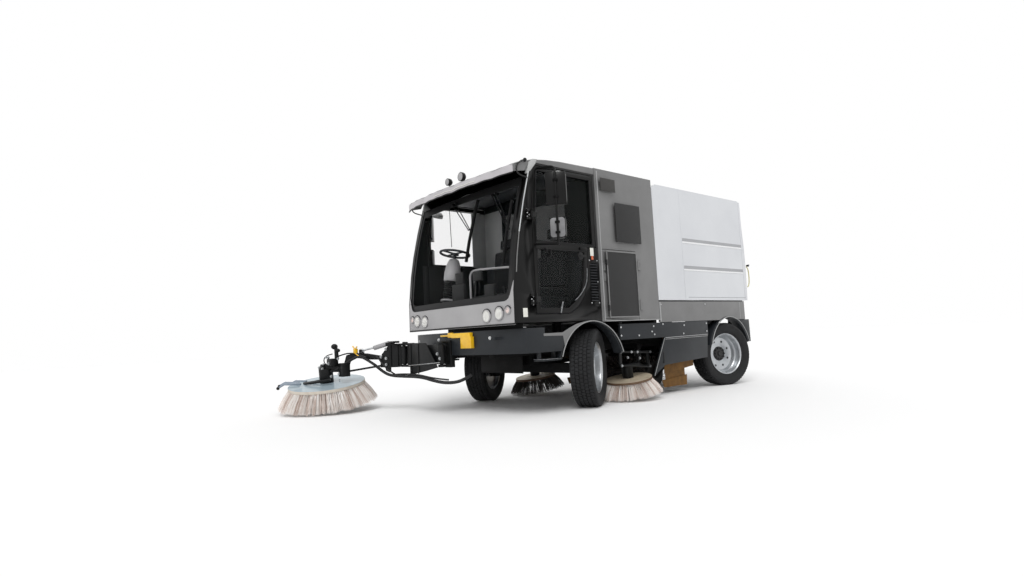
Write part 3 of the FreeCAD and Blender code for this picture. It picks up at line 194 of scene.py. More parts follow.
def bareMetal(name, light, dark, roughness=0.3, streak=1.0, grain=2):
    # worked steel: fine grain, and clouds of dulling where hands and dirt reach
    material, tree, shader = newMaterial(name, {"Metallic": 1.0})
    spot = addNode(tree, "ShaderNodeTexCoord")
    stretch = addNode(tree, "ShaderNodeMapping", {"Scale": (1, 1, streak)},
                      {"Vector": spot.outputs["Object"]})
    clouds = addNode(tree, "ShaderNodeTexNoise", {"Scale": 24, "Detail": 7},
                     {"Vector": stretch.outputs["Vector"]})
    ramp = addNode(tree, "ShaderNodeValToRGB", {}, {"Fac": clouds.outputs["Fac"]})
    ramp.color_ramp.elements[0].position = 0.3
    ramp.color_ramp.elements[0].color = linear(dark)
    ramp.color_ramp.elements[1].position = 0.7
    ramp.color_ramp.elements[1].color = linear(light)
    tree.links.new(ramp.outputs["Color"], shader.inputs["Base Color"])
    gloss = addNode(tree, "ShaderNodeMapRange", {"To Min": roughness + 0.12, "To Max": roughness - 0.08},
                    {"Value": clouds.outputs["Fac"]})
    tree.links.new(gloss.outputs["Result"], shader.inputs["Roughness"])
    fine = addNode(tree, "ShaderNodeTexNoise", {"Scale": 1000 / grain}, {"Vector": spot.outputs["Object"]})
    bump = addNode(tree, "ShaderNodeBump", {"Strength": 0.2, "Distance": 0.05 * millimetre},
                   {"Height": fine.outputs["Fac"]})
    tree.links.new(bump.outputs["Normal"], shader.inputs["Normal"])
    return material


def strandMaterial(name, colours, roughness=0.55):
    # crimped polypropylene bristle: each strand its own tone, from bone to a dusty pink brown
    material, tree, shader = newMaterial(name, {"Roughness": roughness, "Specular IOR Level": 0.4})
    tone = addNode(tree, "ShaderNodeAttribute", {"attribute_name": "tone"})
    ramp = addNode(tree, "ShaderNodeValToRGB", {}, {"Fac": tone.outputs["Fac"]})
    ramp.color_ramp.elements[0].color = linear(colours[0])
    ramp.color_ramp.elements[1].color = linear(colours[-1])
    for index, colour in enumerate(colours[1:-1]):
        element = ramp.color_ramp.elements.new((index + 1) / (len(colours) - 1))
        element.color = linear(colour)
    tree.links.new(ramp.outputs["Color"], shader.inputs["Base Color"])
    return material


def perforated(name, sheet, hole, pitch=9):
    # punched sheet over a dark void: rows of small round holes, drawn coarser than real so that they show
    material, tree, shader = newMaterial(name, {"Roughness": 0.55})
    spot = addNode(tree, "ShaderNodeTexCoord")
    cells = addNode(tree, "ShaderNodeTexVoronoi", {"Scale": 1000 / pitch, "Randomness": 0.0},
                    {"Vector": spot.outputs["Object"]})
    edge = addNode(tree, "ShaderNodeMapRange", {"From Min": 0.28, "From Max": 0.42},
                   {"Value": cells.outputs["Distance"]})
    mix = addNode(tree, "ShaderNodeMix", {"data_type": "RGBA"})
    mix.inputs[6].default_value = linear(hole)
    mix.inputs[7].default_value = linear(sheet)
    tree.links.new(edge.outputs["Result"], mix.inputs[0])
    tree.links.new(mix.outputs[2], shader.inputs["Base Color"])
    bump = addNode(tree, "ShaderNodeBump", {"Strength": 0.6, "Distance": 1.5 * millimetre},
                   {"Height": edge.outputs["Result"]})
    tree.links.new(bump.outputs["Normal"], shader.inputs["Normal"])
    return material


def woven(name, light, dark, thread=4):
    # woven upholstery: two crossing sets of threads over foam, flat because they are finer than a pixel
    material, tree, shader = newMaterial(name, {"Roughness": 0.9, "Sheen Weight": 0.05})
    spot = addNode(tree, "ShaderNodeTexCoord")
    warp = addNode(tree, "ShaderNodeTexWave", {"Scale": 1000 / thread / 6.3, "bands_direction": "X"},
                   {"Vector": spot.outputs["Object"]})
    weft = addNode(tree, "ShaderNodeTexWave", {"Scale": 1000 / thread / 6.3, "bands_direction": "Z"},
                   {"Vector": spot.outputs["Object"]})
    cross = addNode(tree, "ShaderNodeMath", {"operation": "MAXIMUM"})
    tree.links.new(warp.outputs["Fac"], cross.inputs[0])
    tree.links.new(weft.outputs["Fac"], cross.inputs[1])
    ramp = addNode(tree, "ShaderNodeValToRGB", {}, {"Fac": cross.outputs["Value"]})
    ramp.color_ramp.elements[0].color = linear(dark)
    ramp.color_ramp.elements[1].color = linear(light)
    tree.links.new(ramp.outputs["Color"], shader.inputs["Base Color"])
    return material


greyEnamelAndDimHighlight = paint("grey enamel on steel and the pillars' dim painted highlight", "#7C7C7C", "#707070", roughness=0.45, coat=0.1, specular=0.3)
maskGrey = paint("light grey enamel on the front mask", "#A8A7A8", "#9B9A9B", roughness=0.42, coat=0.12,
                 specular=0.3)
fasciaGrey = paint("pale grey moulding of the visor", "#C2BFC2", "#B2AFB2", roughness=0.5, coat=0.1)
# painted highlight for the light on the front pillars' rounded corners
pillarHighlightPaint = paint("painted highlight on the front pillars", "#D0D2D3", "#B9BBBC", roughness=0.35, coat=0.3)
boltBrightAndKnobHighlight = paint("bright zinc on the small bolts", "#D2D3D4", "#B4B6B7", grimeSize=20, metallic=0.3,
                   roughness=0.35)
# painted reflection for the small mirrors' glossy backs
mirrorBackReflection = paint("painted reflection on the small mirrors' glossy backs", "#8B8B8D", "#59595B", grimeSize=160,
                  roughness=0.3, coat=0.4)
fittingPaint = paint("pale yellow plastic of the water fitting", "#C9C28A", "#A8A06C", grimeSize=60,
                     roughness=0.5)
edgeGreyAndHighlight = paint("grey enamel on folded edges and painted edge highlights", "#A2A3A3", "#909191", roughness=0.4, coat=0.2)
paleEnamel = paint("pale grey enamel on the roof corners", "#B9BAB9", "#A3A4A4", roughness=0.4, coat=0.2)
whiteEnamel = paint("white enamel on the hopper", "#D6D8DB", "#CBCDD1", grimeSize=900, roughness=0.4,
                    coat=0.2)
# painted shade and painted highlight for the slopes of the hopper's ribs
ribPaintedShade = paint("painted shade in the hopper's ribs", "#A3A4A7", "#999A9D", roughness=0.5, coat=0.1)
ribPaintedHighlight = paint("painted highlight on the ribs' lower lips", "#F6F7F8", "#ECEDEE", roughness=0.4, coat=0.2)
blackEnamel = paint("black gloss enamel on the cab", "#0B0B0B", "#080808", roughness=0.3, coat=0.1,
                    specular=0.16)
slateEnamel = paint("slate enamel on the beams", "#24272B", "#1D2023", roughness=0.45, coat=0.1,
                    specular=0.22)
frameBlackAndShade = paint("black chassis paint and painted shade under the truck", "#0E0E0F", "#090909", grimeSize=120, roughness=0.6, coat=0.0,
                   grime=0.7, specular=0.15)
armBlack = paint("black satin paint on the arm", "#131415", "#0C0D0D", grimeSize=90, roughness=0.45,
                 coat=0.05, specular=0.2)
leverYellow = paint("yellow enamel on the lever", "#F2C21B", "#D9A40E", grimeSize=60, roughness=0.35)
rimSilver = paint("silver paint on the rims", "#C9CCCF", "#9FA2A5", grimeSize=80, metallic=0.75,
                  roughness=0.3, grime=0.8)
hubBlackAndShade = paint("black hub paint and painted shade in the rim's holes", "#1D1D1E", "#0F0F10", grimeSize=40, roughness=0.5, coat=0.2)
discBlue = paint("blue grey paint on the brush disc", "#AEBFC8", "#94A5AE", grimeSize=120, roughness=0.45,
                 grime=0.8)
discBrown = paint("worn cream paint on the side discs", "#C9BDA8", "#9C8E78", grimeSize=90, roughness=0.6,
                  coat=0.1, grime=0.7)
woodRim = paint("birch ply of the brush rim", "#D6CFC4", "#BDB2A3", grimeSize=70, roughness=0.7, coat=0.0,
                grime=0.8)
discEdgeBrown = paint("stained rim of the side discs", "#6E5747", "#57432F", grimeSize=70, roughness=0.7,
                      coat=0.0)
lensPink = paint("pale red lens", "#EBD8D2", "#DCC4BD", grimeSize=20, roughness=0.2, coat=0.8)
hookBlue = paint("blue grey paint on the brush hooks", "#8E9AA8", "#737F8C", grimeSize=60, roughness=0.45)
lampOrange = paint("orange lens", "#D9642A", "#B84A18", grimeSize=20, roughness=0.2, coat=0.8)
labelWhiteAndHighlight = paint("blank white label and the visor's painted highlight", "#E8E8E2", "#D9D9CE", grimeSize=20, roughness=0.5, coat=0.1)
columnGrey = paint("grey moulded plastic of the column", "#A9A8AA", "#8F8E90", grimeSize=150, roughness=0.6,
                   coat=0.0, peel=1.5, peelDepth=0.03)
darkPlasticAndLouvreHighlight = paint("dark moulded plastic of the dashboard", "#3A3C3F", "#2C2E31", grimeSize=150, roughness=0.65,
                 coat=0.0, peel=1.5, peelDepth=0.03)
tyreRubber = rubberLike("tyre rubber", "#252628", "#121213")
hoseRubber = rubberLike("hose rubber", "#262627", "#131314", roughness=0.55)
ochreRubber = rubberLike("ochre rubber of the flaps", "#8A6432", "#5F4320", roughness=0.8)
sealRubberAndShade = rubberLike("door seal rubber and painted shade", "#141415", "#0C0C0D", roughness=0.6)
chrome = bareMetal("ground chrome on the rods", "#D8DADC", "#BFC2C4", roughness=0.14)
zincSteel = bareMetal("zinc plated steel of bolts", "#B9BBBC", "#8C8E90", roughness=0.32)
rawSteelAndHighlight = bareMetal("bright worn steel and painted highlight on the doors", "#A9ABAD", "#6F7174", roughness=0.4)
castIron = bareMetal("cast iron of the engine", "#4A4A4B", "#2C2C2D", roughness=0.6)
reflector = bareMetal("lamp reflector", "#EDEFF0", "#D5D8DA", roughness=0.1)
mirrorGlass = bareMetal("mirror silvering", "#8E9499", "#7C8287", roughness=0.06, grain=30)
bristleBone = strandMaterial("bristles", ["#A88D80", "#DCCBC1", "#F4EEE9", "#FFFDFA", "#D9C5BA"])
# dark bristles for the main brush; on the far side brush they are painted shade
darkBristlesAndShade = strandMaterial("dark bristles and painted shade", ["#1C1A19", "#3A3532", "#5A5049"])
grilleMesh = perforated("punched grille", "#151516", "#080808")
ventMesh = perforated("punched vent", "#33312F", "#1D1C1A")
seatCloth = woven("seat cloth", "#17181A", "#131416")
screenGlass = clearGlass("windscreen glass", "#2A3030", "#3B4242", level=0.03)
farGlass = clearGlass("clear glass of the right door", "#2A3030", "#3B4242", level=0.04)
doorGlass = clearGlass("tinted door glass", "#101413", "#1B201F", level=0.2)
lampGlass = clearGlass("lamp glass", "#EFECE4", "#FBFAF7", level=0.4)
print("materials made")

# Shapes, all in the truck's millimetres until a piece is finished

def boxShape(bm, low, high, bevel=0, segments=2):
    made = bmesh.ops.create_cube(bm, size=1)
    size = [b - a for a, b in zip(low, high)]
    middle = [(a + b) / 2 for a, b in zip(low, high)]
    bmesh.ops.transform(bm, matrix=Matrix.Translation(middle) @ Matrix.Diagonal((*size, 1)),
                        verts=made["verts"])
    if bevel:
        edges = list({edge for vert in made["verts"] for edge in vert.link_edges})
        result = bmesh.ops.bevel(bm, geom=edges, offset=bevel, offset_type="OFFSET", affect="EDGES",
                                 segments=segments, profile=0.5, material=-1, clamp_overlap=True)
        return result["verts"]
    return made["verts"]


def facing(start, end):
    way = (Vector(end) - Vector(start)).normalized()
    return way.to_track_quat("Z", "Y").to_matrix().to_4x4()


def rodShape(bm, start, end, radius, endRadius=None, segments=20, bevel=0):
    length = (Vector(end) - Vector(start)).length
    made = bmesh.ops.create_cone(bm, cap_ends=True, cap_tris=False, segments=segments, radius1=radius,
                                 radius2=radius if endRadius is None else endRadius, depth=length)
    verts = made["verts"]
    middle = (Vector(start) + Vector(end)) / 2
    bmesh.ops.transform(bm, matrix=Matrix.Translation(middle) @ facing(start, end), verts=verts)
    if bevel:
        rims = [edge for edge in {e for v in verts for e in v.link_edges}
                if len(edge.link_faces) == 2 and any(len(face.verts) > 4 for face in edge.link_faces)]
        result = bmesh.ops.bevel(bm, geom=rims, offset=bevel, offset_type="OFFSET", affect="EDGES",
                                 segments=2, profile=0.5, material=-1, clamp_overlap=True)
        return result["verts"]
    return verts


def spinShape(bm, outline, centre, axis, steps=48, closed=True):
    # outline is (radius, distance along the axis); it is turned once about the axis
    axis = Vector(axis).normalized()
    side = axis.orthogonal().normalized()
    verts = [bm.verts.new(Vector(centre) + side * radius + axis * along) for radius, along in outline]
    edges = [bm.edges.new(pair) for pair in zip(verts, verts[1:])]
    if closed:
        edges.append(bm.edges.new((verts[-1], verts[0])))
    made = bmesh.ops.spin(bm, geom=verts + edges, cent=centre, axis=axis, dvec=(0, 0, 0),
                          angle=math.tau, steps=steps, use_merge=True, use_duplicate=False)
    found = {vert for item in made["geom_last"]
             for vert in ([item] if isinstance(item, bmesh.types.BMVert) else [])}
    return list(found | set(verts))


def ballShape(bm, centre, radius, squash=(1, 1, 1), rings=12):
    made = bmesh.ops.create_uvsphere(bm, u_segments=rings * 2, v_segments=rings, radius=radius)
    bmesh.ops.transform(bm, matrix=Matrix.Translation(centre) @ Matrix.Diagonal((*squash, 1)),
                        verts=made["verts"])
    return made["verts"]


def plateShape(bm, outline, thickness, bevel=0):
    # a flat outline of points pushed along its thickness, which is a vector
    verts = [bm.verts.new(point) for point in outline]
    face = bm.faces.new(verts)
    made = bmesh.ops.extrude_face_region(bm, geom=[face])
    moved = [item for item in made["geom"] if isinstance(item, bmesh.types.BMVert)]
    bmesh.ops.translate(bm, vec=thickness, verts=moved)
    every = verts + moved
    if bevel:
        edges = list({edge for vert in every for edge in vert.link_edges})
        made = bmesh.ops.bevel(bm, geom=edges, offset=bevel, offset_type="OFFSET", affect="EDGES",
                               segments=2, profile=0.5, material=-1, clamp_overlap=True)
        return made["verts"]
    return every


def roundedOutline(low, high, radius, steps=6):
    # a rectangle in two coordinates with round corners; radius is one value or one for each corner
    radii = radius if isinstance(radius, (tuple, list)) else (radius,) * 4
    corners = ((high[0], high[1], 0), (low[0], high[1], 90), (low[0], low[1], 180), (high[0], low[1], 270))
    points = []
    for (x, y, start), size in zip(corners, radii):
        inwardX = -1 if start in (0, 270) else 1
        inwardY = -1 if start in (0, 90) else 1
        for step in range(steps + 1):
            angle = math.radians(start + 90 * step / steps)
            points.append((x + inwardX * size + size * math.cos(angle),
                           y + inwardY * size + size * math.sin(angle)))
    return points


def hoseShape(bm, points, radius, segments=10, ribs=0):
    # a smooth tube through the points, as mesh; ribs gives the pitch of a corrugated hose
    curve = bpy.data.curves.new("hose path", "CURVE")
    curve.dimensions = "3D"
    spline = curve.splines.new("NURBS")
    spline.points.add(len(points) - 1)
    for point, spot in zip(spline.points, points):
        point.co = (*spot, 1)
    spline.order_u = 3
    spline.use_endpoint_u = True
    spline.resolution_u = 8
    holder = bpy.data.objects.new("hose path", curve)
    scene.collection.objects.link(holder)
    line = bpy.data.meshes.new_from_object(holder)
    path = [vert.co.copy() for vert in line.vertices]
    bpy.data.objects.remove(holder)
    bpy.data.curves.remove(curve)
    bpy.data.meshes.remove(line)
    if ribs:
        path = resample(path, ribs / 2)
    rings = []
    side = None
    for index, spot in enumerate(path):
        ahead = (path[min(index + 1, len(path) - 1)] - path[max(index - 1, 0)]).normalized()
        if side is None:
            side = ahead.orthogonal().normalized()
        side = (side - ahead * side.dot(ahead)).normalized()
        up = ahead.cross(side)
        size = radius * (0.86 if ribs and index % 2 else 1.0)
        made = bmesh.ops.create_circle(bm, cap_ends=index in (0, len(path) - 1), segments=segments,
                                       radius=size)
        turn = Matrix((side, up, ahead)).transposed().to_4x4()
        bmesh.ops.transform(bm, matrix=Matrix.Translation(spot) @ turn, verts=made["verts"])
        rings.append(made["verts"])
    for first, second in zip(rings, rings[1:]):
        for index in range(segments):
            after = (index + 1) % segments
            bm.faces.new((first[index], first[after], second[after], second[index]))
    return [vert for ring in rings for vert in ring]


def resample(path, spacing):
    result = [path[0]]
    spare = 0.0
    for first, second in zip(path, path[1:]):
        length = (second - first).length
        travelled = spacing - spare
        while travelled <= length:
            result.append(first.lerp(second, travelled / length))
            travelled += spacing
        spare = length - (travelled - spacing)
    return result


def finish(name, bm, body, materials, inMillimetres=True, sharp=35, recalculate=True, slot=None, smooth=True):
    if inMillimetres:
        bmesh.ops.transform(bm, matrix=toFrame, verts=bm.verts)
    if recalculate:
        bmesh.ops.recalc_face_normals(bm, faces=bm.faces)
    mesh = bpy.data.meshes.new(name)
    bm.to_mesh(mesh)
    bm.free()
    for material in materials if isinstance(materials, (list, tuple)) else [materials]:
        mesh.materials.append(material)
    if smooth:
        mesh.shade_smooth()
        mesh.set_sharp_from_angle(angle=math.radians(sharp))
    piece = bpy.data.objects.new(name, mesh)
    scene.collection.objects.link(piece)
    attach(piece, body)
    return piece


def bodyOf(node):
    for body, members in frame["record"]["behaviour"]["bodies"].items():
        if node in members:
            return body


def softened(node, material, width=4, segments=2, angle=30):
    # a copy of a CAD node with its sharp edges rounded, so that they catch the light as real ones do
    bm = bmesh.new()
    bm.from_mesh(nodes[node].data)
    bmesh.ops.remove_doubles(bm, verts=bm.verts, dist=0.00001)
    bmesh.ops.dissolve_limit(bm, angle_limit=math.radians(0.5), verts=bm.verts, edges=bm.edges)
    edges = [edge for edge in bm.edges
             if len(edge.link_faces) == 2 and edge.calc_face_angle() > math.radians(angle)]
    bmesh.ops.bevel(bm, geom=edges, offset=width * millimetre, offset_type="OFFSET", affect="EDGES",
                    segments=segments, profile=0.5, material=-1, clamp_overlap=True)
    bmesh.ops.triangulate(bm, faces=[face for face in bm.faces if len(face.verts) > 4])
    piece = finish(node + "_dressed", bm, bodyOf(node), material, inMillimetres=False, recalculate=False)
    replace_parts(piece, node)
    return piece


def coat(node, material):
    data = nodes[node].data
    data.materials.clear()
    data.materials.append(material)
    data.shade_smooth()
    data.set_sharp_from_angle(angle=math.radians(35))


def boltHeads(bm, spots, way, radius=9, height=7, washer=True):
    # hexagon heads on washers, all facing the same way
    way = Vector(way).normalized()
    for spot in spots:
        spot = Vector(spot)
        if washer:
            rodShape(bm, spot, spot + way * 2, radius * 1.35, segments=16)
        rodShape(bm, spot + way * 2, spot + way * height, radius, segments=6)


def joined(name, body, materials, build, **more):
    bm = bmesh.new()
    build(bm)
    return finish(name, bm, body, materials, **more)


# Wheels
wheels = {
    "radius": 463,
    "centreX": 934,
    "kingpinX": 760,
    "axleY": {"front": -175, "rear": 2880},
    "steer": {"front": 31, "rear": -15},
    "treadHeight": 11,
    "blocks": 62,
    "ribs": ((-96, 40), (-48, 38), (0, 38), (48, 38), (96, 40)),
    "rimInner": 277.7,
    "flange": 304,
    "rimHalf": 112,
    "webOut": -52,
    "webIn": -70,
    "hubRadius": 108,
    "hubOut": -4,
    "nuts": 10,
    "nutCircle": 82,
    "handHoles": 8,
}


def tyreOutline():
    base = wheels["radius"] - wheels["treadHeight"]
    half = [(291, 100), (305, 101), (308, 112), (316, 118), (330, 124), (362, 133), (400, 139), (424, 139.5),
            (438, 136), (448, 128), (base, 117), (base, 73), (base - 3, 71), (base - 3, 70), (base, 68)]
    grooves = [(base, 24), (base - 3, 23), (base - 3, 22), (base, 21)]
    side = half + grooves
    return side + [(radius, -along) for radius, along in reversed(side)]


def tyreShape(bm):
    spinShape(bm, tyreOutline(), (0, 0, 0), (1, 0, 0), steps=96)
    lift = wheels["radius"] - wheels["treadHeight"]
    pitch = math.tau / wheels["blocks"]
    length = wheels["radius"] * pitch - 6
    for rib, (offset, width) in enumerate(wheels["ribs"]):
        for index in range(wheels["blocks"]):
            turn = Matrix.Rotation(pitch * (index + 0.35 * (rib % 2)), 4, "X")
            skew = Matrix.Rotation(math.radians(9 if rib < 2 else -9 if rib > 2 else 0), 4, "Z")
            verts = boxShape(bm, (-width / 2, -length / 2, -4),
                             (width / 2, length / 2, wheels["treadHeight"] - 1), bevel=2, segments=1)
            bmesh.ops.transform(bm, matrix=turn @ Matrix.Translation((offset, 0, lift)) @ skew, verts=verts)
    for ring in (334, 410):
        side = 127 if ring < 400 else 139.5
        for sign in (1, -1):
            spinShape(bm, [(ring - 3, sign * (side - 4)), (ring, sign * (side + 1.2)),
                           (ring + 3, sign * (side - 4))],
                      (0, 0, 0), (1, 0, 0), steps=72)


def rimShape(bm):
    inner, flange, half = wheels["rimInner"], wheels["flange"], wheels["rimHalf"]
    out, back = wheels["webOut"], wheels["webIn"]
    outline = [(inner, -half), (flange - 4, -half), (flange, -half + 3), (flange - 3, -half + 11),
               (290, -half + 14),
               (289.5, half - 14), (flange - 3, half - 11), (flange, half - 3), (flange - 4, half),
               (flange - 10, half - 1), (flange - 18, half - 9), (inner + 2, half - 22), (inner, half - 34),
               (inner - 4, 20), (inner - 16, 8), (inner - 20, -10), (inner - 34, out + 14),
               (inner - 60, out + 2),
               (150, out), (128, out + 4), (wheels["hubRadius"] - 6, out + 8),
               (wheels["hubRadius"] - 6, back), (inner - 60, back), (inner - 8, back - 4)]
    spinShape(bm, outline, (0, 0, 0), (1, 0, 0), steps=72)


def rimHoles(bm):
    # painted shade: dark discs on the web where the hand holes are, for the dark inside of the wheel seen
    # through them
    for index in range(wheels["handHoles"]):
        angle = math.tau * (index + 0.5) / wheels["handHoles"]
        spot = Vector((wheels["webOut"] + 1, 190 * math.cos(angle), 190 * math.sin(angle)))
        rodShape(bm, spot, spot + Vector((2.5, 0, 0)), 17, segments=20)


def hubShape(bm):
    radius, face = wheels["hubRadius"], wheels["hubOut"]
    outline = [(0.5, face), (34, face), (40, face - 6), (44, face - 18), (radius - 30, face - 20),
               (radius - 12, face - 24),
               (radius - 6, face - 34), (radius, wheels["webOut"] + 14), (radius, wheels["webOut"] + 1),
               (0.5, wheels["webOut"] + 1)]
    spinShape(bm, outline, (0, 0, 0), (1, 0, 0), steps=48)
    for index in range(wheels["nuts"]):
        angle = math.tau * index / wheels["nuts"]
        spot = Vector((face - 30, wheels["nutCircle"] * math.cos(angle),
                       wheels["nutCircle"] * math.sin(angle)))
        rodShape(bm, spot, spot + Vector((26, 0, 0)), 12, segments=6)


def makeWheel(end, side):
    sign = 1 if side == "left" else -1
    steer = math.radians(wheels["steer"][end])
    kingpin = Vector((sign * wheels["kingpinX"], wheels["axleY"][end], wheels["radius"]))
    reach = sign * (wheels["centreX"] - wheels["kingpinX"])
    centre = kingpin + Vector((math.cos(steer), math.sin(steer), 0)) * reach
    turn = Matrix.Rotation(steer + (0 if sign > 0 else math.pi), 4, "Z")
    seat = Matrix.Translation(centre) @ turn
    body = end + "_wheel_" + side
    for name, build, material in (("tyre", tyreShape, tyreRubber), ("rim", rimShape, rimSilver),
                                  ("rim_holes", rimHoles, hubBlackAndShade), ("hub", hubShape, hubBlackAndShade)):
        bm = bmesh.new()
        build(bm)
        bmesh.ops.transform(bm, matrix=seat, verts=bm.verts)
        piece = finish(end + "_" + name + "_" + side + "_made", bm, body, material)
        if name in ("tyre", "rim"):
            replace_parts(piece, end + "_" + name + "_" + side)


for end in ("front", "rear"):
    for side in ("left", "right"):
        makeWheel(end, side)
print("wheels made")


# Brushes
frontBrush = {
    "node": "front_brush", "body": "front_brush", "x": -1990, "y": -2140, "tilt": (0.10, -0.115, 1.0),
    "discRadius": 500, "tipRadius": 662, "drop": 240, "rim": 44, "tufts": 132, "rows": 3, "strands": 15,
    "thickness": 2.6, "disc": discBlue, "edge": woodRim, "seed": 4,
}
sideBrush = {
    "node": "side_brush_left", "body": "side_brush_left", "x": 890, "y": 665, "tilt": (0.02, -0.15, 1.0),
    "discRadius": 300, "tipRadius": 422, "drop": 178, "rim": 34, "tufts": 84, "rows": 3, "strands": 13,
    "thickness": 2.4, "disc": discBrown, "edge": discEdgeBrown, "seed": 9,
}
tipGap = 3


def strand(bm, start, end, radius, bow, tone, layer):
    # a three-sided bristle that bows outwards and thins towards its tip
    way = end - start
    side = way.cross(bow).normalized() * radius
    front = bow.normalized() * radius
    rings = []
    for part, size in ((0.0, 1.0), (0.5, 0.9), (1.0, 0.55)):
        spot = start + way * part + bow * math.sin(part * math.pi) * 0.9
        rings.append([bm.verts.new(spot + side * size), bm.verts.new(spot - side * size),
                      bm.verts.new(spot + front * size * 1.5)])
    faces = []
    for first, second in zip(rings, rings[1:]):
        for index in range(3):
            after = (index + 1) % 3
            faces.append(bm.faces.new((first[index], first[after], second[after], second[index])))
    faces.append(bm.faces.new(rings[-1]))
    for ring in rings:
        for vert in ring:
            vert[layer] = tone


def discBristles(bm, plan, seedShift=0):
    layer = bm.verts.layers.float.new("tone")
    chance = random.Random(plan["seed"] + seedShift)
    for row in range(plan["rows"]):
        rootRadius = plan["discRadius"] - 14 - row * 26
        reach = plan["tipRadius"] - row * 46
        for index in range(plan["tufts"]):
            angle = math.tau * (index + 0.5 * (row % 2)) / plan["tufts"]
            lean = chance.uniform(-0.03, 0.03)
            length = chance.uniform(0.93, 1.0)
            base = chance.uniform(0.15, 0.85)
            for _ in range(plan["strands"]):
                rootAngle = angle + chance.uniform(-0.010, 0.010)
                tipAngle = angle + lean + chance.uniform(-0.035, 0.035)
                rootAt = rootRadius + chance.uniform(-9, 9)
                tipAt = reach * chance.uniform(0.95, 1.0)
                grown = length * chance.uniform(0.94, 1.0)
                start = Vector((rootAt * math.cos(rootAngle), rootAt * math.sin(rootAngle), 2))
                tip = Vector((tipAt * math.cos(tipAngle), tipAt * math.sin(tipAngle), -plan["drop"]))
                end = start.lerp(tip, grown)
                bow = Vector((math.cos(tipAngle), math.sin(tipAngle), 0.4)) * chance.uniform(4, 12)
                tone = min(1, max(0, base + chance.uniform(-0.2, 0.2)))
                strand(bm, start, end, plan["thickness"] / 2, bow, tone, layer)


def discShape(bm, plan):
    radius, rim = plan["discRadius"], plan["rim"]
    top = [(60, rim + 1), (radius * 0.45, rim + 1), (radius * 0.5, rim - 2), (radius - 2, rim - 2),
           (radius - 2, rim - 6), (60, rim - 6)]
    spinShape(bm, top, (0, 0, 0), (0, 0, 1), steps=96)
    for index in range(8):
        angle = math.tau * index / 8
        spot = Vector((radius * 0.36 * math.cos(angle), radius * 0.36 * math.sin(angle), rim + 1))
        boltHeads(bm, [spot], (0, 0, 1), radius=8, height=7)


def discEdge(bm, plan):
    radius, rim = plan["discRadius"], plan["rim"]
    edge = [(radius - 110, 0), (radius - 3, 0), (radius, 3), (radius, rim - 7), (radius - 4, rim - 3),
            (radius - 110, rim - 3)]
    spinShape(bm, edge, (0, 0, 0), (0, 0, 1), steps=96)


def discSeat(plan, sign=1):
    up = Vector(plan["tilt"]).normalized()
    lean = math.sqrt(1 - up.z ** 2)
    tipRadius = plan["tipRadius"] + 3
    centre = Vector((plan["x"], plan["y"], tipGap + (plan["drop"] + 2) * up.z + tipRadius * lean))
    turn = Vector((0, 0, 1)).rotation_difference(up).to_matrix().to_4x4()
    seat = Matrix.Translation(centre) @ turn
    if sign < 0:
        seat = Matrix.Diagonal((-1, 1, 1, 1)) @ seat
    return seat


def makeBrush(plan, sign=1, node=None):
    node = node or plan["node"]
    # the far side brush takes the dark bristles as painted shade; it really has the same pale bristles as the
    # near one
    pieces = (("bristles", lambda bm: discBristles(bm, plan, sign), darkBristlesAndShade if sign < 0 else bristleBone,
               False),
              ("disc", lambda bm: discShape(bm, plan), plan["disc"], True),
              ("edge", lambda bm: discEdge(bm, plan), plan["edge"], True))
    for name, build, material, closed in pieces:
        bm = bmesh.new()
        build(bm)
        bmesh.ops.transform(bm, matrix=discSeat(plan, sign), verts=bm.verts)
        if sign < 0 and not closed:
            bmesh.ops.reverse_faces(bm, faces=bm.faces)
        piece = finish(node + "_" + name, bm, node, material, recalculate=closed)
        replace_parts(piece, node)


mainBrush = {
    "y": 1500, "z": 263, "radius": 257, "core": 110, "half": 688, "rows": 26, "around": 30, "strands": 3,
    "seed": 21,
}


def mainBristles(bm):
    layer = bm.verts.layers.float.new("tone")
    chance = random.Random(mainBrush["seed"])
    step = 2 * mainBrush["half"] / mainBrush["rows"]
    for row in range(mainBrush["rows"]):
        for index in range(mainBrush["around"]):
            angle = math.tau * (index + 0.12 * row) / mainBrush["around"]
            for _ in range(mainBrush["strands"]):
                x = -mainBrush["half"] + step * (row + 0.5) + chance.uniform(-step * 0.45, step * 0.45)
                turn = angle + chance.uniform(-0.09, 0.09)
                way = Vector((0, math.cos(turn), math.sin(turn)))
                centre = Vector((x, mainBrush["y"], mainBrush["z"]))
                length = mainBrush["radius"] * chance.uniform(0.95, 1.0)
                tone = chance.uniform(0, 1)
                strand(bm, centre + way * mainBrush["core"], centre + way * length, 3.2,
                       Vector((1, 0, 0)) * chance.uniform(-4, 4) + way.cross(Vector((1, 0, 0))) * 3, tone,
                       layer)


def mainCore(bm):
    spot = Vector((0, mainBrush["y"], mainBrush["z"]))
    half = mainBrush["half"]
    rodShape(bm, spot - Vector((half, 0, 0)), spot + Vector((half, 0, 0)), mainBrush["core"] + 70,
             segments=40)
    rodShape(bm, spot - Vector((half + 30, 0, 0)), spot + Vector((half + 30, 0, 0)), 19.5, segments=24)


makeBrush(frontBrush)
makeBrush(sideBrush)
makeBrush(sideBrush, -1, "side_brush_right")
for name, build, material in (("main_brush_bristles", mainBristles, darkBristlesAndShade),
                              ("main_brush_core", mainCore, darkBristlesAndShade)):
    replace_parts(joined(name, "main_brush", material, build, recalculate=name.endswith("core")), "main_brush")
print("brushes made")

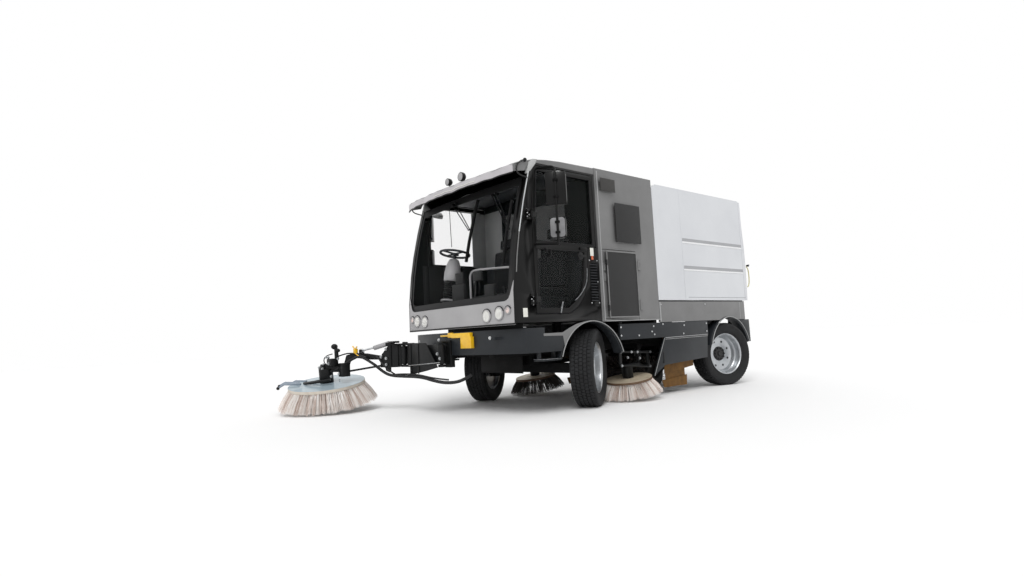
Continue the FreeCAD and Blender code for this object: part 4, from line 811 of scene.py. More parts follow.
# Body panels, from the solids with their edges eased
panelWidths = {
    "front_apron": (frameBlackAndShade, 3), "sill_panels": (greyEnamelAndDimHighlight, 5), "side_beams": (slateEnamel, 4),
    "tailgate": (whiteEnamel, 7), "front_beam": (slateEnamel, 8),
    "door_left": (blackEnamel, 4), "door_right": (blackEnamel, 4),
    "engine_door_left": (greyEnamelAndDimHighlight, 4), "engine_door_right": (greyEnamelAndDimHighlight, 4),
    "chassis_frame": (frameBlackAndShade, 3), "front_axle": (frameBlackAndShade, 4), "rear_axle": (frameBlackAndShade, 4),
    "engine_block": (castIron, 10), "rubber_flaps": (ochreRubber, 2),
    "door_glass_left": (doorGlass, 0), "door_glass_right": (farGlass, 0),
    "lock_lever": (leverYellow, 3), "arm_base": (armBlack, 5), "boom_inner": (armBlack, 4),
    "boom_outer": (armBlack, 4), "lift_arm": (armBlack, 4), "tie_bar": (armBlack, 3),
    "brush_head": (armBlack, 5),
    "lift_barrel": (armBlack, 3), "lift_rod": (chrome, 0), "tip_barrel": (armBlack, 4),
    "tip_rod": (chrome, 0), "front_knuckle_left": (frameBlackAndShade, 3), "front_knuckle_right": (frameBlackAndShade, 3),
    "rear_knuckle_left": (frameBlackAndShade, 3), "rear_knuckle_right": (frameBlackAndShade, 3),
    "side_carrier_left": (armBlack, 4), "side_carrier_right": (armBlack, 4), "side_arm_left": (armBlack, 4),
    "side_arm_right": (armBlack, 4), "main_brush_frame": (frameBlackAndShade, 4),
}
for node, (material, width) in panelWidths.items():
    if width:
        softened(node, material, width)
    else:
        coat(node, material)
print("panels dressed")


# Cab
cab = {
    "half": 1095,
    "screenHalf": 1030,
    "frontLine": ((1019, -1363), (1366, -1359), (1739, -1317), (2011, -1268), (2349, -1187), (2633, -1105),
                  (2790, -1060)),
    "bulge": 45,
    "screenLow": 1252,
    "screenHigh": 2639,
    "cornerRadius": 110,
    "pillarRound": 36,
    "maskLow": 1012,
    "floor": 1066,
    "innerHalf": 1045,
    "lamps": ((643, 1115, 66), (847, 1131, 66), (985, 1158, 36)),
    "visorFront": -1480,
    "visorCorner": -1300,
    "visorSlope": 0.3,
    "visorBase": 2835,
    "visorLip": 80,
    "flatLimit": 0.9995,
    "workLamps": ((-220, 46), (64, 56)),
}


def frontAt(z):
    line = cab["frontLine"]
    for (lowZ, lowY), (highZ, highY) in zip(line, line[1:]):
        if z <= highZ:
            return lowY + (highY - lowY) * (z - lowZ) / (highZ - lowZ)
    return line[-1][1]


def bulgeAt(x):
    return cab["bulge"] * max(0, 1 - (x / cab["screenHalf"]) ** 2)


def sheetShape(bm, columns, levels, at, thickness):
    # a grid bent into a curved sheet: at gives the place of a share across and a share up
    made = bmesh.ops.create_grid(bm, x_segments=columns, y_segments=levels, size=1)
    for vert in made["verts"]:
        vert.co = Vector(at((vert.co.x + 1) / 2, (vert.co.y + 1) / 2))
    faces = list({face for vert in made["verts"] for face in vert.link_faces})
    bmesh.ops.solidify(bm, geom=faces, thickness=thickness)


def chainShape(bm, points, radius, segments=8, closed=False):
    # a bead laid along a line of points
    for first, second in zip(points, points[1:] + (points[:1] if closed else [])):
        rodShape(bm, first, second, radius, segments=segments)


def planAt(share):
    # the mask's line seen from above: bulged across the front, then round each corner post
    half, radius = cab["half"] + 3, cab["pillarRound"] + 3
    across = abs(2 * share - 1)
    sign = 1 if share < 0.5 else -1
    if across < 0.86:
        x = cab["screenHalf"] * across / 0.86
        return (sign * x, -3 - bulgeAt(x))
    angle = math.radians(90 * (1 - 0.5 * (across - 0.86) / 0.14))
    return (sign * (half - radius + radius * math.cos(angle)), radius - 3 - radius * math.sin(angle))


def maskTop(x):
    # the panel's upper edge: level under the screen, then up each corner post in a round corner
    inner = cab["screenHalf"] - cab["cornerRadius"]
    beyond = abs(x) - inner
    if beyond <= 0:
        return cab["screenLow"] + 8
    share = min(1, beyond / cab["cornerRadius"])
    rise = cab["cornerRadius"] * (1 - math.sqrt(max(0, 1 - share ** 2)))
    return cab["screenLow"] + 8 + rise + max(0, beyond - cab["cornerRadius"]) * 2.4


def maskAt(share, level):
    x, y = planAt(share)
    z = cab["maskLow"] + (maskTop(x) - cab["maskLow"]) * level
    return (x, frontAt(z) + y, z)


def frontMask(bm):
    sheetShape(bm, 80, 8, maskAt, 12)


def maskLip(bm):
    # folded lower edge of the panel
    chainShape(bm, [maskAt(step / 50, 0) for step in range(51)], 9)


def screenAt(inset, low=0, high=1, leftSide=-1, rightSide=1):
    def at(share, level):
        z = cab["screenLow"] + (cab["screenHigh"] - cab["screenLow"]) * (low + (high - low) * level)
        x = (cab["screenHalf"] - 1) * (leftSide + (rightSide - leftSide) * share)
        return (x, frontAt(z) + inset - bulgeAt(x), z)
    return at


def screenBorder(bm):
    # printed black band round the glass, with round inner corners at the bottom
    width = 46
    share = width / cab["screenHalf"]
    for columns, levels, part in ((24, 2, {"low": 0.93}), (24, 1, {"high": 0.06}),
                                  (2, 14, {"rightSide": -1 + share}), (2, 14, {"leftSide": 1 - share})):
        sheetShape(bm, columns, levels, screenAt(8, **part), 1.5)
    for sign in (1, -1):
        x, z = sign * (cab["screenHalf"] - width), cab["screenLow"] + 82
        fan = [(x, z)]
        for step in range(8):
            angle = math.radians(90 * step / 7)
            fan.append((x - sign * 70 * (1 - math.cos(angle)), z + 70 * (1 - math.sin(angle))))
        plateShape(bm, [(x, frontAt(z) + 7 - bulgeAt(x), z) for x, z in fan], (0, 2, 0))


def screenSeal(bm):
    points = []
    for step in range(61):
        x, y = planAt(0.07 + 0.86 * step / 60)
        z = maskTop(x) + 4
        points.append((x, frontAt(z) + y + 2, z))
    chainShape(bm, points, 6)


def lampBezel(bm):
    for x, z, radius in cab["lamps"]:
        for sign in (1, -1):
            y = frontAt(z) - bulgeAt(x) - 3
            outline = [(radius + 9, 2), (radius + 9, 8), (radius + 4, 15), (radius - 3, 17), (radius - 6, 12),
                       (radius - 4, 2)]
            spinShape(bm, outline, (sign * x, y, z), (0, -1, 0), steps=40)


def lampBowl(bm):
    for x, z, radius in cab["lamps"][:2]:
        for sign in (1, -1):
            y = frontAt(z) - bulgeAt(x) - 3
            outline = [(radius - 5, 12), (radius - 14, 6), (radius * 0.5, 2), (radius * 0.3, 1.5), (0.5, 1.5),
                       (0.5, 0.5), (radius - 4, 0.5)]
            spinShape(bm, outline, (sign * x, y, z), (0, -1, 0), steps=40)
            ballShape(bm, (sign * x, y - 5, z), 17, squash=(1, 0.5, 1), rings=8)


def lampLens(bm):
    for x, z, radius in cab["lamps"][:2]:
        for sign in (1, -1):
            y = frontAt(z) - bulgeAt(x) - 3
            outline = [(0.5, 20), (radius * 0.6, 18), (radius - 6, 13.5), (radius - 6, 12),
                       (radius * 0.6, 16.5), (0.5, 18.5)]
            spinShape(bm, outline, (sign * x, y, z), (0, -1, 0), steps=40)


def lampShadeArc(bm):
    # painted shade: a dark arc over the top of each lamp, where its recess lies in shadow
    for sign in (1, -1):
        for x, z, radius in cab["lamps"]:
            y = frontAt(z) - bulgeAt(x) - 2
            for step in range(12):
                start, end = math.radians(20 + step * 140 / 12), math.radians(20 + (step + 1) * 140 / 12)
                size = radius + 12
                first = (sign * x + size * math.cos(start), y - 6, z + size * math.sin(start))
                second = (sign * x + size * math.cos(end), y - 6, z + size * math.sin(end))
                rodShape(bm, first, second, 6, segments=8)


def cornerSocket(bm):
    # small reflector beside each corner lamp's bulb
    x, z, radius = cab["lamps"][2]
    for sign in (1, -1):
        ballShape(bm, (sign * x, frontAt(z) - bulgeAt(x) - 20, z + radius * 0.35), 11, squash=(1, 0.4, 1),
                  rings=8)


def cornerLamp(bm):
    x, z, radius = cab["lamps"][2]
    for sign in (1, -1):
        y = frontAt(z) - bulgeAt(x) - 3
        outline = [(0.5, 18), (radius * 0.7, 15), (radius - 5, 11), (radius - 5, 1), (0.5, 1)]
        spinShape(bm, outline, (sign * x, y, z), (0, -1, 0), steps=32)


def roundedShell(node, material, width, wideEdge, cutAt=None, flat=False):
    # a copy of a cab solid with its chosen edges turned to a wide round, and the rest eased
    bm = bmesh.new()
    bm.from_mesh(nodes[node].data)
    bmesh.ops.remove_doubles(bm, verts=bm.verts, dist=0.00001)
    bmesh.ops.dissolve_limit(bm, angle_limit=math.radians(0.5), verts=bm.verts, edges=bm.edges)
    bmesh.ops.transform(bm, matrix=toFrame.inverted(), verts=bm.verts)
    if cutAt is not None:
        bmesh.ops.bisect_plane(bm, geom=bm.verts[:] + bm.edges[:] + bm.faces[:], plane_co=(0, cutAt, 0),
                               plane_no=(0, -1, 0), clear_outer=True)
        bmesh.ops.holes_fill(bm, edges=[edge for edge in bm.edges if edge.is_boundary], sides=0)
    chosen = [edge for edge in bm.edges if len(edge.link_faces) == 2
              and edge.calc_face_angle() > math.radians(30) and wideEdge([vert.co for vert in edge.verts])]
    bmesh.ops.bevel(bm, geom=chosen, offset=cab["pillarRound"], offset_type="OFFSET", affect="EDGES",
                    segments=6, profile=0.5, material=-1, clamp_overlap=True)
    sharp = [edge for edge in bm.edges if len(edge.link_faces) == 2
             and edge.calc_face_angle() > math.radians(38)]
    bmesh.ops.bevel(bm, geom=sharp, offset=width, offset_type="OFFSET", affect="EDGES",
                    segments=2, profile=0.5, material=-1, clamp_overlap=True)
    bmesh.ops.triangulate(bm, faces=[face for face in bm.faces if len(face.verts) > 4])
    piece = finish(node + "_dressed", bm, bodyOf(node), material, recalculate=False)
    if flat:
        # a flat panel keeps its own normal, so the rounds beside it don't shade across it
        for face in piece.data.polygons:
            if max(abs(part) for part in face.normal) > cab["flatLimit"]:
                face.use_smooth = False
    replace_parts(piece, node)


def isFrontCorner(ends):
    return all(abs(abs(end.x) - cab["half"]) < 1 and end.y < frontAt(end.z) + 2 for end in ends)


def isRoofEdge(ends):
    return all(abs(abs(end.x) - cab["half"]) < 1 and end.z > 2815 for end in ends)


# Sun visor: a pressed shade with shallow flutes and a rolled front edge
def visorAt(x, share, drop=0):
    half = cab["half"]
    front = cab["visorCorner"] + (cab["visorFront"] - cab["visorCorner"]) * (1 - (x / half) ** 2)
    y = -1000 + (front + 1000) * share
    z = cab["visorBase"] + (y + 1000) * cab["visorSlope"]
    flutes = 5 * math.sin(x / 41) * math.sin(x / 173 + 0.6) * min(1, share * 1.6)
    sag = -10 * max(0, share - 0.8) * 5 * (1 + 0.3 * math.sin(x / 97))
    return (x, y, z + flutes + sag - drop)


def visorShape(bm):
    half = cab["half"]
    sheetShape(bm, 90, 12, lambda share, level: visorAt(half * (1 - 2 * share), level), 8)


def visorUnder(bm):
    half = cab["half"] - 14
    sheetShape(bm, 40, 6, lambda share, level: visorAt(half * (1 - 2 * share), 0.975 * level, 17), 4)


def lipAt(x, level):
    # the shade's downturned front band, a little wavy, drooping at its ends
    spot = Vector(visorAt(x, 1.0))
    end = (abs(x) / cab["half"]) ** 8
    spot.z -= cab["visorLip"] * level + 14 * end * level
    spot.y -= (3 * math.sin(x / 37) + 2 * math.sin(x / 83)) * math.sin(level * math.pi)
    return spot


def visorLip(bm):
    half = cab["half"]
    sheetShape(bm, 90, 6, lambda share, level: lipAt(half * (1 - 2 * share), level), 9)


def visorHighlight(bm):
    # painted highlight: a thin white bead part way down the band, near its middle, where the band's curled
    # edge catches the light
    start, length = -200, 780
    chainShape(bm, [lipAt(start + length * step / 30, 0.62) - Vector((0, 4, 0)) for step in range(31)], 4)


def visorRim(bm):
    half = cab["half"]
    chainShape(bm, [lipAt(half * (1 - 2 * step / 60), 1.03) for step in range(61)], 8)


def visorSide(bm):
    # triangular cheek between the shade and the roof at each end
    for sign in (1, -1):
        x = sign * (cab["half"] - 6)
        outline = [visorAt(x, 0, 8), visorAt(x, 0.97, 8), visorAt(x, 0.97, 84), (x, -1120, 2690),
                   (x, -1060, 2796)]
        plateShape(bm, outline, (-sign * 5, 0, 0))


def cornerPanel(bm):
    # pale pressed corner between shade, roof and pillar
    for sign in (1, -1):
        x = sign * (cab["half"] + 2)
        outline = [(x, -1062, 2792), (x, -1003, 2838), (x, -930, 2846), (x, -960, 2788), (x, -1036, 2700),
                   (x, -1098, 2658)]
        plateShape(bm, outline, (-sign * 40, 0, 0), bevel=5)


def visorLoop(bm):
    # black cable loop at each end of the shade
    for sign in (1, -1):
        x = sign * (cab["half"] + 8)
        hoseShape(bm, [(x, -1110, 2800), (x, -1150, 2802), (x, -1205, 2772), (x, -1248, 2716),
                       (x, -1252, 2660), (x, -1215, 2628), (x, -1161, 2618), (x, -1103, 2610)], 8)
        ballShape(bm, (x, -1122, 2806), 22, rings=8)



def pillarHighlight(bm):
    # painted highlight: a bright strip down the upper half of each front pillar, where its rounded corner
    # catches the light
    for sign in (1, -1):
        chainShape(bm, [pillarAt(sign, 2000 + 690 * step / 10) for step in range(11)], 9)


def pillarAt(sign, z):
    return (sign * (cab["half"] - 4), frontAt(z) + 18, z)


def pillarHighlightDim(bm):
    # the same painted highlight lower down, in duller grey, where the corner reflects less
    for sign in (1, -1):
        chainShape(bm, [pillarAt(sign, 1560 + 440 * step / 8) for step in range(9)], 8.5)


def workLampBody(bm):
    for x, radius in cab["workLamps"]:
        outline = [(0.5, 34), (radius * 0.6, 30), (radius * 0.92, 12), (radius, -6), (radius, -34),
                   (radius - 5, -38), (radius - 6, -20), (0.5, -18)]
        spinShape(bm, outline, (x, -1222, 2850), (0, 1, 0), steps=36)
        rodShape(bm, (x, -1222, 2850 - radius + 4), (x, -1222, 2760), 9)
        boxShape(bm, (x - 30, -1240, 2752), (x + 30, -1200, 2760), bevel=2)


def workLampLens(bm):
    for x, radius in cab["workLamps"]:
        outline = [(0.5, -40), (radius * 0.6, -39), (radius - 6, -35), (radius - 6, -24), (0.5, -24)]
        spinShape(bm, outline, (x, -1222, 2850), (0, 1, 0), steps=36)


# Wipers: two sweeping pairs of arms with their blades
wiperSets = (
    {"pivot": (-205, 2560), "arm": (265, 2150), "top": (333, 2509), "low": (275, 1768)},
    {"pivot": (606, 2510), "arm": (976, 2031), "top": (956, 2376), "low": (927, 1652)},
)


def onScreen(x, z, off):
    return Vector((x, frontAt(z) - bulgeAt(x) - off, z))


def wiperShape(bm):
    for plan in wiperSets:
        for shift in (0, 62):
            start = onScreen(plan["pivot"][0] + shift, plan["pivot"][1] + shift * 0.2, 34)
            end = onScreen(plan["arm"][0] + shift * 0.35, plan["arm"][1] + shift * 0.1, 40)
            rodShape(bm, start, end, 6, segments=10)
            rodShape(bm, onScreen(plan["pivot"][0] + shift, plan["pivot"][1], -2), start, 14, segments=16,
                     bevel=2)
            ballShape(bm, start, 15, rings=8)
            ballShape(bm, end, 9, rings=8)
        count = 10
        for step in range(count):
            first, second = step / count, (step + 1) / count
            spots = []
            for share in (first, second):
                x = plan["top"][0] + (plan["low"][0] - plan["top"][0]) * share
                z = plan["top"][1] + (plan["low"][1] - plan["top"][1]) * share
                spots.append((x, z))
            rodShape(bm, onScreen(*spots[0], 10), onScreen(*spots[1], 10), 9, segments=8)
            rodShape(bm, onScreen(*spots[0], 28), onScreen(*spots[1], 28), 15, segments=10)
        for share in (0.15, 0.5, 0.85):
            x = plan["top"][0] + (plan["low"][0] - plan["top"][0]) * share
            z = plan["top"][1] + (plan["low"][1] - plan["top"][1]) * share
            rodShape(bm, onScreen(x, z, 8), onScreen(x, z, 30), 7, segments=8)
        rodShape(bm, onScreen(*plan["arm"], 40),
                 onScreen((plan["top"][0] + plan["low"][0]) / 2, plan["arm"][1], 30), 7, segments=10)
    thin = [onScreen(-295, 2553, 20), onScreen(-180, 2270, 16), onScreen(-75, 1999, 14)]
    hoseShape(bm, thin, 4, segments=8)


# Doors
doorLow = ((-1003, 1167), (-560, 1167), (-440, 1240), (-330, 1350), (-270, 1510), (-245, 1830), (-1003, 1830))
doorHigh = ((-1003, 1920), (-95, 1920), (-95, 2715), (-960, 2715), (-1003, 2250))


def doorHighlight(bm, sign):
    # painted highlight: a bright steel-coloured strip that follows the lower pane's round corner, and a short
    # one below it, where the door's edges catch the light
    x = sign * (cab["half"] + 1.5)
    points = [(x, -219, 1640), (x, -224, 1540), (x, -246, 1450), (x, -308, 1372), (x, -380, 1300),
              (x, -452, 1258)]
    hoseShape(bm, points, 5, segments=8)
    hoseShape(bm, [(x, -649, 1240), (x, -672, 1180), (x, -690, 1116)], 8, segments=8)


def doorTrim(bm, sign):
    # rubber seals round both panes and the split line of the door
    x = sign * (cab["half"] + 0.5)
    for outline in (doorLow, doorHigh):
        chainShape(bm, [(x, y, z) for y, z in outline], 5, closed=True)


def doorFittings(bm, sign):
    # handle, lock and pull bar
    x = sign * cab["half"]
    rodShape(bm, (x + sign * 14, -325, 1778), (x - sign * 4, -325, 1778), 46, segments=32, bevel=3)
    for low, high in (((-4, -345, 1766), (22, -235, 1790)), ((-4, -885, 1826), (16, -795, 1842)),
                      ((-4, -812, 1752), (16, -796, 1842)), ((-4, -885, 1790), (26, -868, 1842))):
        ends = [x + sign * low[0], x + sign * high[0]]
        boxShape(bm, (min(ends), low[1], low[2]), (max(ends), high[1], high[2]), bevel=4)


def doorBolts(bm, sign):
    x = sign * (cab["half"] + 1)
    for centreY, centreZ in ((-1112, 2208), (-1112, 1262)):
        for shiftY, shiftZ in ((-14, 50), (12, 34), (-12, 8), (12, -12), (-14, -34), (10, -52)):
            boltHeads(bm, [(x, centreY + shiftY, centreZ + shiftZ)], (sign, 0, 0), radius=8, height=6,
                      washer=False)


def louvreShape(bm, sign):
    # pressed cooling slots behind the door, each with a hood; the hoods are dark grey on the black panel, as
    # painted highlight for the light along each slot
    x = sign * cab["half"]
    for row in range(14):
        z = 1250 + row * 33
        plateShape(bm, [(x - sign * 2, -164, z), (x + sign * 7, -164, z + 3), (x - sign * 2, -164, z + 13)],
                   (0, 118, 0))


def louvreBolts(bm, sign):
    x = sign * (cab["half"] + 1)
    spots = [(x, -172, 1735), (x, -40, 1735), (x, -172, 1228), (x, -40, 1228), (x, -46, 1480)]
    boltHeads(bm, spots, (sign, 0, 0), radius=8, height=6, washer=False)


# Mirrors on their upright tube
mirror = {"x": 1300, "y": -870, "turn": 39, "big": (2295, 2660, 112), "small": (1927, 2155, 88)}


def turnedHead(bm, sign):
    # the heads face back along the truck, turned about their tube
    post = Matrix.Translation((sign * mirror["x"], mirror["y"], 0))
    turn = post @ Matrix.Rotation(math.radians(sign * mirror["turn"]), 4, "Z") @ post.inverted()
    bmesh.ops.transform(bm, matrix=turn, verts=bm.verts)


def mirrorOutline(sign, head, inset, radius):
    low, high, half = mirror[head]
    reach = half - inset
    return roundedOutline((sign * mirror["x"] - reach, low + inset),
                          (sign * mirror["x"] + reach, high - inset), radius)


def mirrorShell(bm, sign):
    for head, radius in (("big", 40), ("small", 34)):
        outline = mirrorOutline(sign, head, 0, radius)
        plateShape(bm, [(x, mirror["y"] + 14, z) for x, z in outline], (0, 42, 0), bevel=10)
    turnedHead(bm, sign)


def mirrorRim(bm, sign):
    for head, radius in (("big", 40), ("small", 34)):
        outline = mirrorOutline(sign, head, 0, radius)
        chainShape(bm, [(x, mirror["y"] + 52, z) for x, z in outline], 5, closed=True)
    turnedHead(bm, sign)


def mirrorBackHighlight(bm, sign):
    # painted highlight: a light grey ring round the big head's glossy black back, where its rounded rim
    # catches the light
    outline = mirrorOutline(sign, "big", 7, 40)
    chainShape(bm, [(x, mirror["y"] + 17, z) for x, z in outline], 5, closed=True)
    turnedHead(bm, sign)


def mirrorBack(bm, sign):
    # painted reflection: the small head's glossy back coloured mid grey with lighter clouds, for what its
    # convex face reflects
    outline = mirrorOutline(sign, "small", 5, 34)
    plateShape(bm, [(x, mirror["y"] + 9, z) for x, z in outline], (0, 10, 0), bevel=4)
    turnedHead(bm, sign)


def mirrorFace(bm, sign):
    for head, radius in (("big", 32), ("small", 26)):
        outline = mirrorOutline(sign, head, 8, radius)
        plateShape(bm, [(x, mirror["y"] + 55, z) for x, z in outline], (0, 4, 0))
    turnedHead(bm, sign)


def mirrorArms(bm, sign):
    x, y = sign * mirror["x"], mirror["y"]
    side = sign * (cab["half"] - 1)
    rodShape(bm, (x, y, 1850), (x, y, 2700), 13, segments=20, bevel=3)
    hoseShape(bm, [(side, -930, 2742), (sign * 1190, -915, 2738), (x, y, 2720), (x, y, 2670)], 12,
              segments=14)
    hoseShape(bm, [(side, -1020, 1875), (sign * 1200, -1000, 1868), (x, y, 1864), (x, y, 1890)], 12,
              segments=14)
    for z in (2380, 2570, 1985, 2100):
        boxShape(bm, (x - 24, y - 18, z - 14), (x + 24, y + 16, z + 14), bevel=4)


def wedgeLamp(bm, sign):
    # wide-angle mirror under the top arm
    x = sign * 1210
    outline = [(x - sign * 20, -800, 2700), (x + sign * 70, -800, 2690), (x + sign * 84, -800, 2640),
               (x - sign * 40, -800, 2600), (x - sign * 60, -800, 2650)]
    plateShape(bm, outline, (0, 90, 0), bevel=12)
    hoseShape(bm, [(sign * mirror["x"], mirror["y"], 2650), (sign * 1270, -840, 2655), (x, -780, 2660)], 9)


# Interior
def crowned(bm, centre, axes, height):
    # lifts a subdivided cushion's skin into a crown, with sewn channels
    for vert in bm.verts:
        local = vert.co - Vector(centre)
        across = max(0, 1 - (local.x / axes[0]) ** 2)
        along = max(0, 1 - (local.y / axes[1]) ** 2)
        channel = 1 - 0.35 * math.exp(-((abs(local.x) - axes[0] * 0.62) / 14) ** 2)
        channel *= 1 - 0.25 * max(math.exp(-((local.y + spot) / 10) ** 2) for spot in (-110, 0, 110))
        vert.co.z += height * (across * along) ** 0.5 * channel if local.z > 0 else 0


def cushionPiece(name, low, high, turn, spot, height):
    bm = bmesh.new()
    size = [b - a for a, b in zip(low, high)]
    bmesh.ops.create_cube(bm, size=1)
    bmesh.ops.transform(bm, matrix=Matrix.Diagonal((*size, 1)), verts=bm.verts)
    bmesh.ops.bevel(bm, geom=list(bm.edges), offset=size[2] * 0.32, offset_type="OFFSET", affect="EDGES",
                    segments=5, profile=0.5, material=-1, clamp_overlap=True)
    bmesh.ops.subdivide_edges(bm, edges=[e for e in bm.edges if e.calc_length() > 60], cuts=22,
                              use_grid_fill=True)
    crowned(bm, (0, 0, 0), (size[0] / 2, size[1] / 2), height)
    bmesh.ops.transform(bm, matrix=Matrix.Translation(spot) @ turn, verts=bm.verts)
    piece = finish(name, bm, "root", seatCloth, sharp=60)
    return piece


def makeSeat(label, x):
    level = Matrix.Identity(4)
    upright = Matrix.Rotation(math.radians(83), 4, "X")
    made = [
        cushionPiece("seat_base_" + label, (-232, -245, -52), (232, 245, 40), level, (x, -385, 1390), 24),
        cushionPiece("seat_back_" + label, (-225, -305, -45), (225, 305, 45), upright, (x, -150, 1766), 22),
        cushionPiece("seat_head_" + label, (-122, -68, -38), (122, 68, 34), upright, (x, -102, 2166), 12),
    ]
    for piece in made:
        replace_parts(piece, "seats")
    bm = bmesh.new()
    boxShape(bm, (x - 180, -555, cab["floor"]), (x + 180, -165, 1330), bevel=12)
    boxShape(bm, (x - 215, -600, 1300), (x + 215, -160, 1338), bevel=10)
    for shift in (-70, 70):
        rodShape(bm, (x + shift, -128, 2020), (x + shift, -104, 2140), 8)
    piece = finish("seat_frame_" + label, bm, "root", darkPlasticAndLouvreHighlight)
    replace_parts(piece, "seats")


column = {"foot": (-490, -1172, 1064), "way": (0, 162, 866), "wheelRadius": 190}


def columnShape(bm):
    # grey hood that narrows to the wheel, and the ring at the foot of the bellows
    way = Vector(column["way"]).normalized()
    outline = [(98, 566), (108, 590), (108, 680), (96, 770), (70, 840), (56, 862), (30, 872), (0.5, 872),
               (0.5, 566)]
    spinShape(bm, outline, column["foot"], way, steps=36)
    spinShape(bm, [(60, 300), (112, 300), (114, 308), (112, 322), (60, 322)], column["foot"], way, steps=36)


def columnBellows(bm):
    way = Vector(column["way"]).normalized()
    outline = [(60, 0), (92, 0), (92, 300), (70, 322)]
    for fold in range(7):
        outline += [(100, 332 + fold * 34), (82, 349 + fold * 34)]
    outline += [(60, 568)]
    spinShape(bm, outline, column["foot"], way, steps=36)


def dashShape(bm):
    low = cab["floor"]
    outline = [(-1300, low), (-1300, 1200), (-1270, 1236), (-1190, 1248), (-1130, 1215), (-1104, low)]
    plateShape(bm, [(-898, y, z) for y, z in outline], (1796, 0, 0), bevel=10)
    boxShape(bm, (60, -1250, 1235), (150, -1150, 1300), bevel=10)
    boxShape(bm, (400, -1230, 1235), (640, -1160, 1330), bevel=12)
    for row in range(4):
        rodShape(bm, (430 + row * 50, -1232, 1285), (430 + row * 50, -1240, 1285), 14)


def consoleShape(bm):
    # control stand beside the driver, with levers
    boxShape(bm, (20, -760, cab["floor"]), (150, -300, 1420), bevel=20)
    for row in range(3):
        rodShape(bm, (60 + row * 26, -640 + row * 60, 1418), (60 + row * 26, -650 + row * 60, 1500), 6)
        ballShape(bm, (60 + row * 26, -652 + row * 60, 1510), 15, rings=8)


def handrails(bm):
    hoseShape(bm, [(30, -1150, 1240), (30, -1150, 1560), (34, -1150, 1660), (110, -1150, 1698),
                   (300, -1150, 1690), (792, -1150, 1655)], 13, segments=14)
    hoseShape(bm, [(1010, -1010, 1350), (1015, -1035, 1700), (1010, -1010, 2100)], 12, segments=12)


def dashClutter(bm):
    # instruments and a small screen on their bracket, beside the rail
    for low, high in (((-320, -1190, 1270), (-60, -1130, 1560)), ((-250, -1180, 1560), (-90, -1140, 1700)),
                      ((110, -1180, 1560), (290, -1140, 1680)), ((330, -1180, 1250), (520, -1130, 1500))):
        boxShape(bm, low, high, bevel=14)
    boxShape(bm, (-1052, -1150, 1075), (-1046, -300, 1893), bevel=2)
    boxShape(bm, (-1046, -1120, 1075), (-1040, -1060, 1893), bevel=2)


def interiorTrim(bm):
    # dark lining of the rear wall, floor mat and headlining
    half, floor = cab["innerHalf"], cab["floor"]
    boxShape(bm, (-half, -52, floor), (half, -50, 1896))
    boxShape(bm, (-half, -1300, floor), (half, -60, floor + 6), bevel=2)
    boxShape(bm, (-1040, -1000, 2790), (1040, -60, 2796), bevel=2)
    boxShape(bm, (-900, -760, 2740), (900, -300, 2790), bevel=14)
    boxShape(bm, (-200, -1050, 2700), (200, -900, 2790), bevel=12)


def cornerLining(bm):
    # grey lining of the cab's rear right corner, which the windscreen shows
    half = cab["innerHalf"]
    boxShape(bm, (-half, -60, 1900), (-640, -55, 2700), bevel=1)
    boxShape(bm, (-half, -300, 1900), (5 - half, -60, 2700), bevel=1)


def steeringWheel(bm):
    way = Vector(column["way"]).normalized()
    centre = Vector((-490, -1010, 1930)) + way * 60
    steps = 40
    side = Vector((1, 0, 0))
    up = way.cross(side)
    ring = [centre + (side * math.cos(math.tau * i / steps) + up * math.sin(math.tau * i / steps))
            * column["wheelRadius"]
            for i in range(steps)]
    chainShape(bm, ring, 15, segments=14, closed=True)
    spinShape(bm, [(0.5, -2), (52, -2), (56, 6), (48, 20), (0.5, 26)], centre - way * 14, way, steps=28)
    for angle in (0, 180, 270):
        tip = side * math.cos(math.radians(angle)) + up * math.sin(math.radians(angle))
        rodShape(bm, centre + tip * 40, centre + tip * (column["wheelRadius"] - 8), 13, 11, segments=12)
    rodShape(bm, centre - way * 59, centre - way * 10, 24, segments=20)


def beamKnobs(bm):
    # painted highlight: the front beam's knobs in bright zinc all over, for the bright tops of the black knobs
    boltHeads(bm, [(-266, -1443, 881), (744, -1443, 874), (-720, -1443, 868)], (0, -1, 0), radius=15,
              height=12)


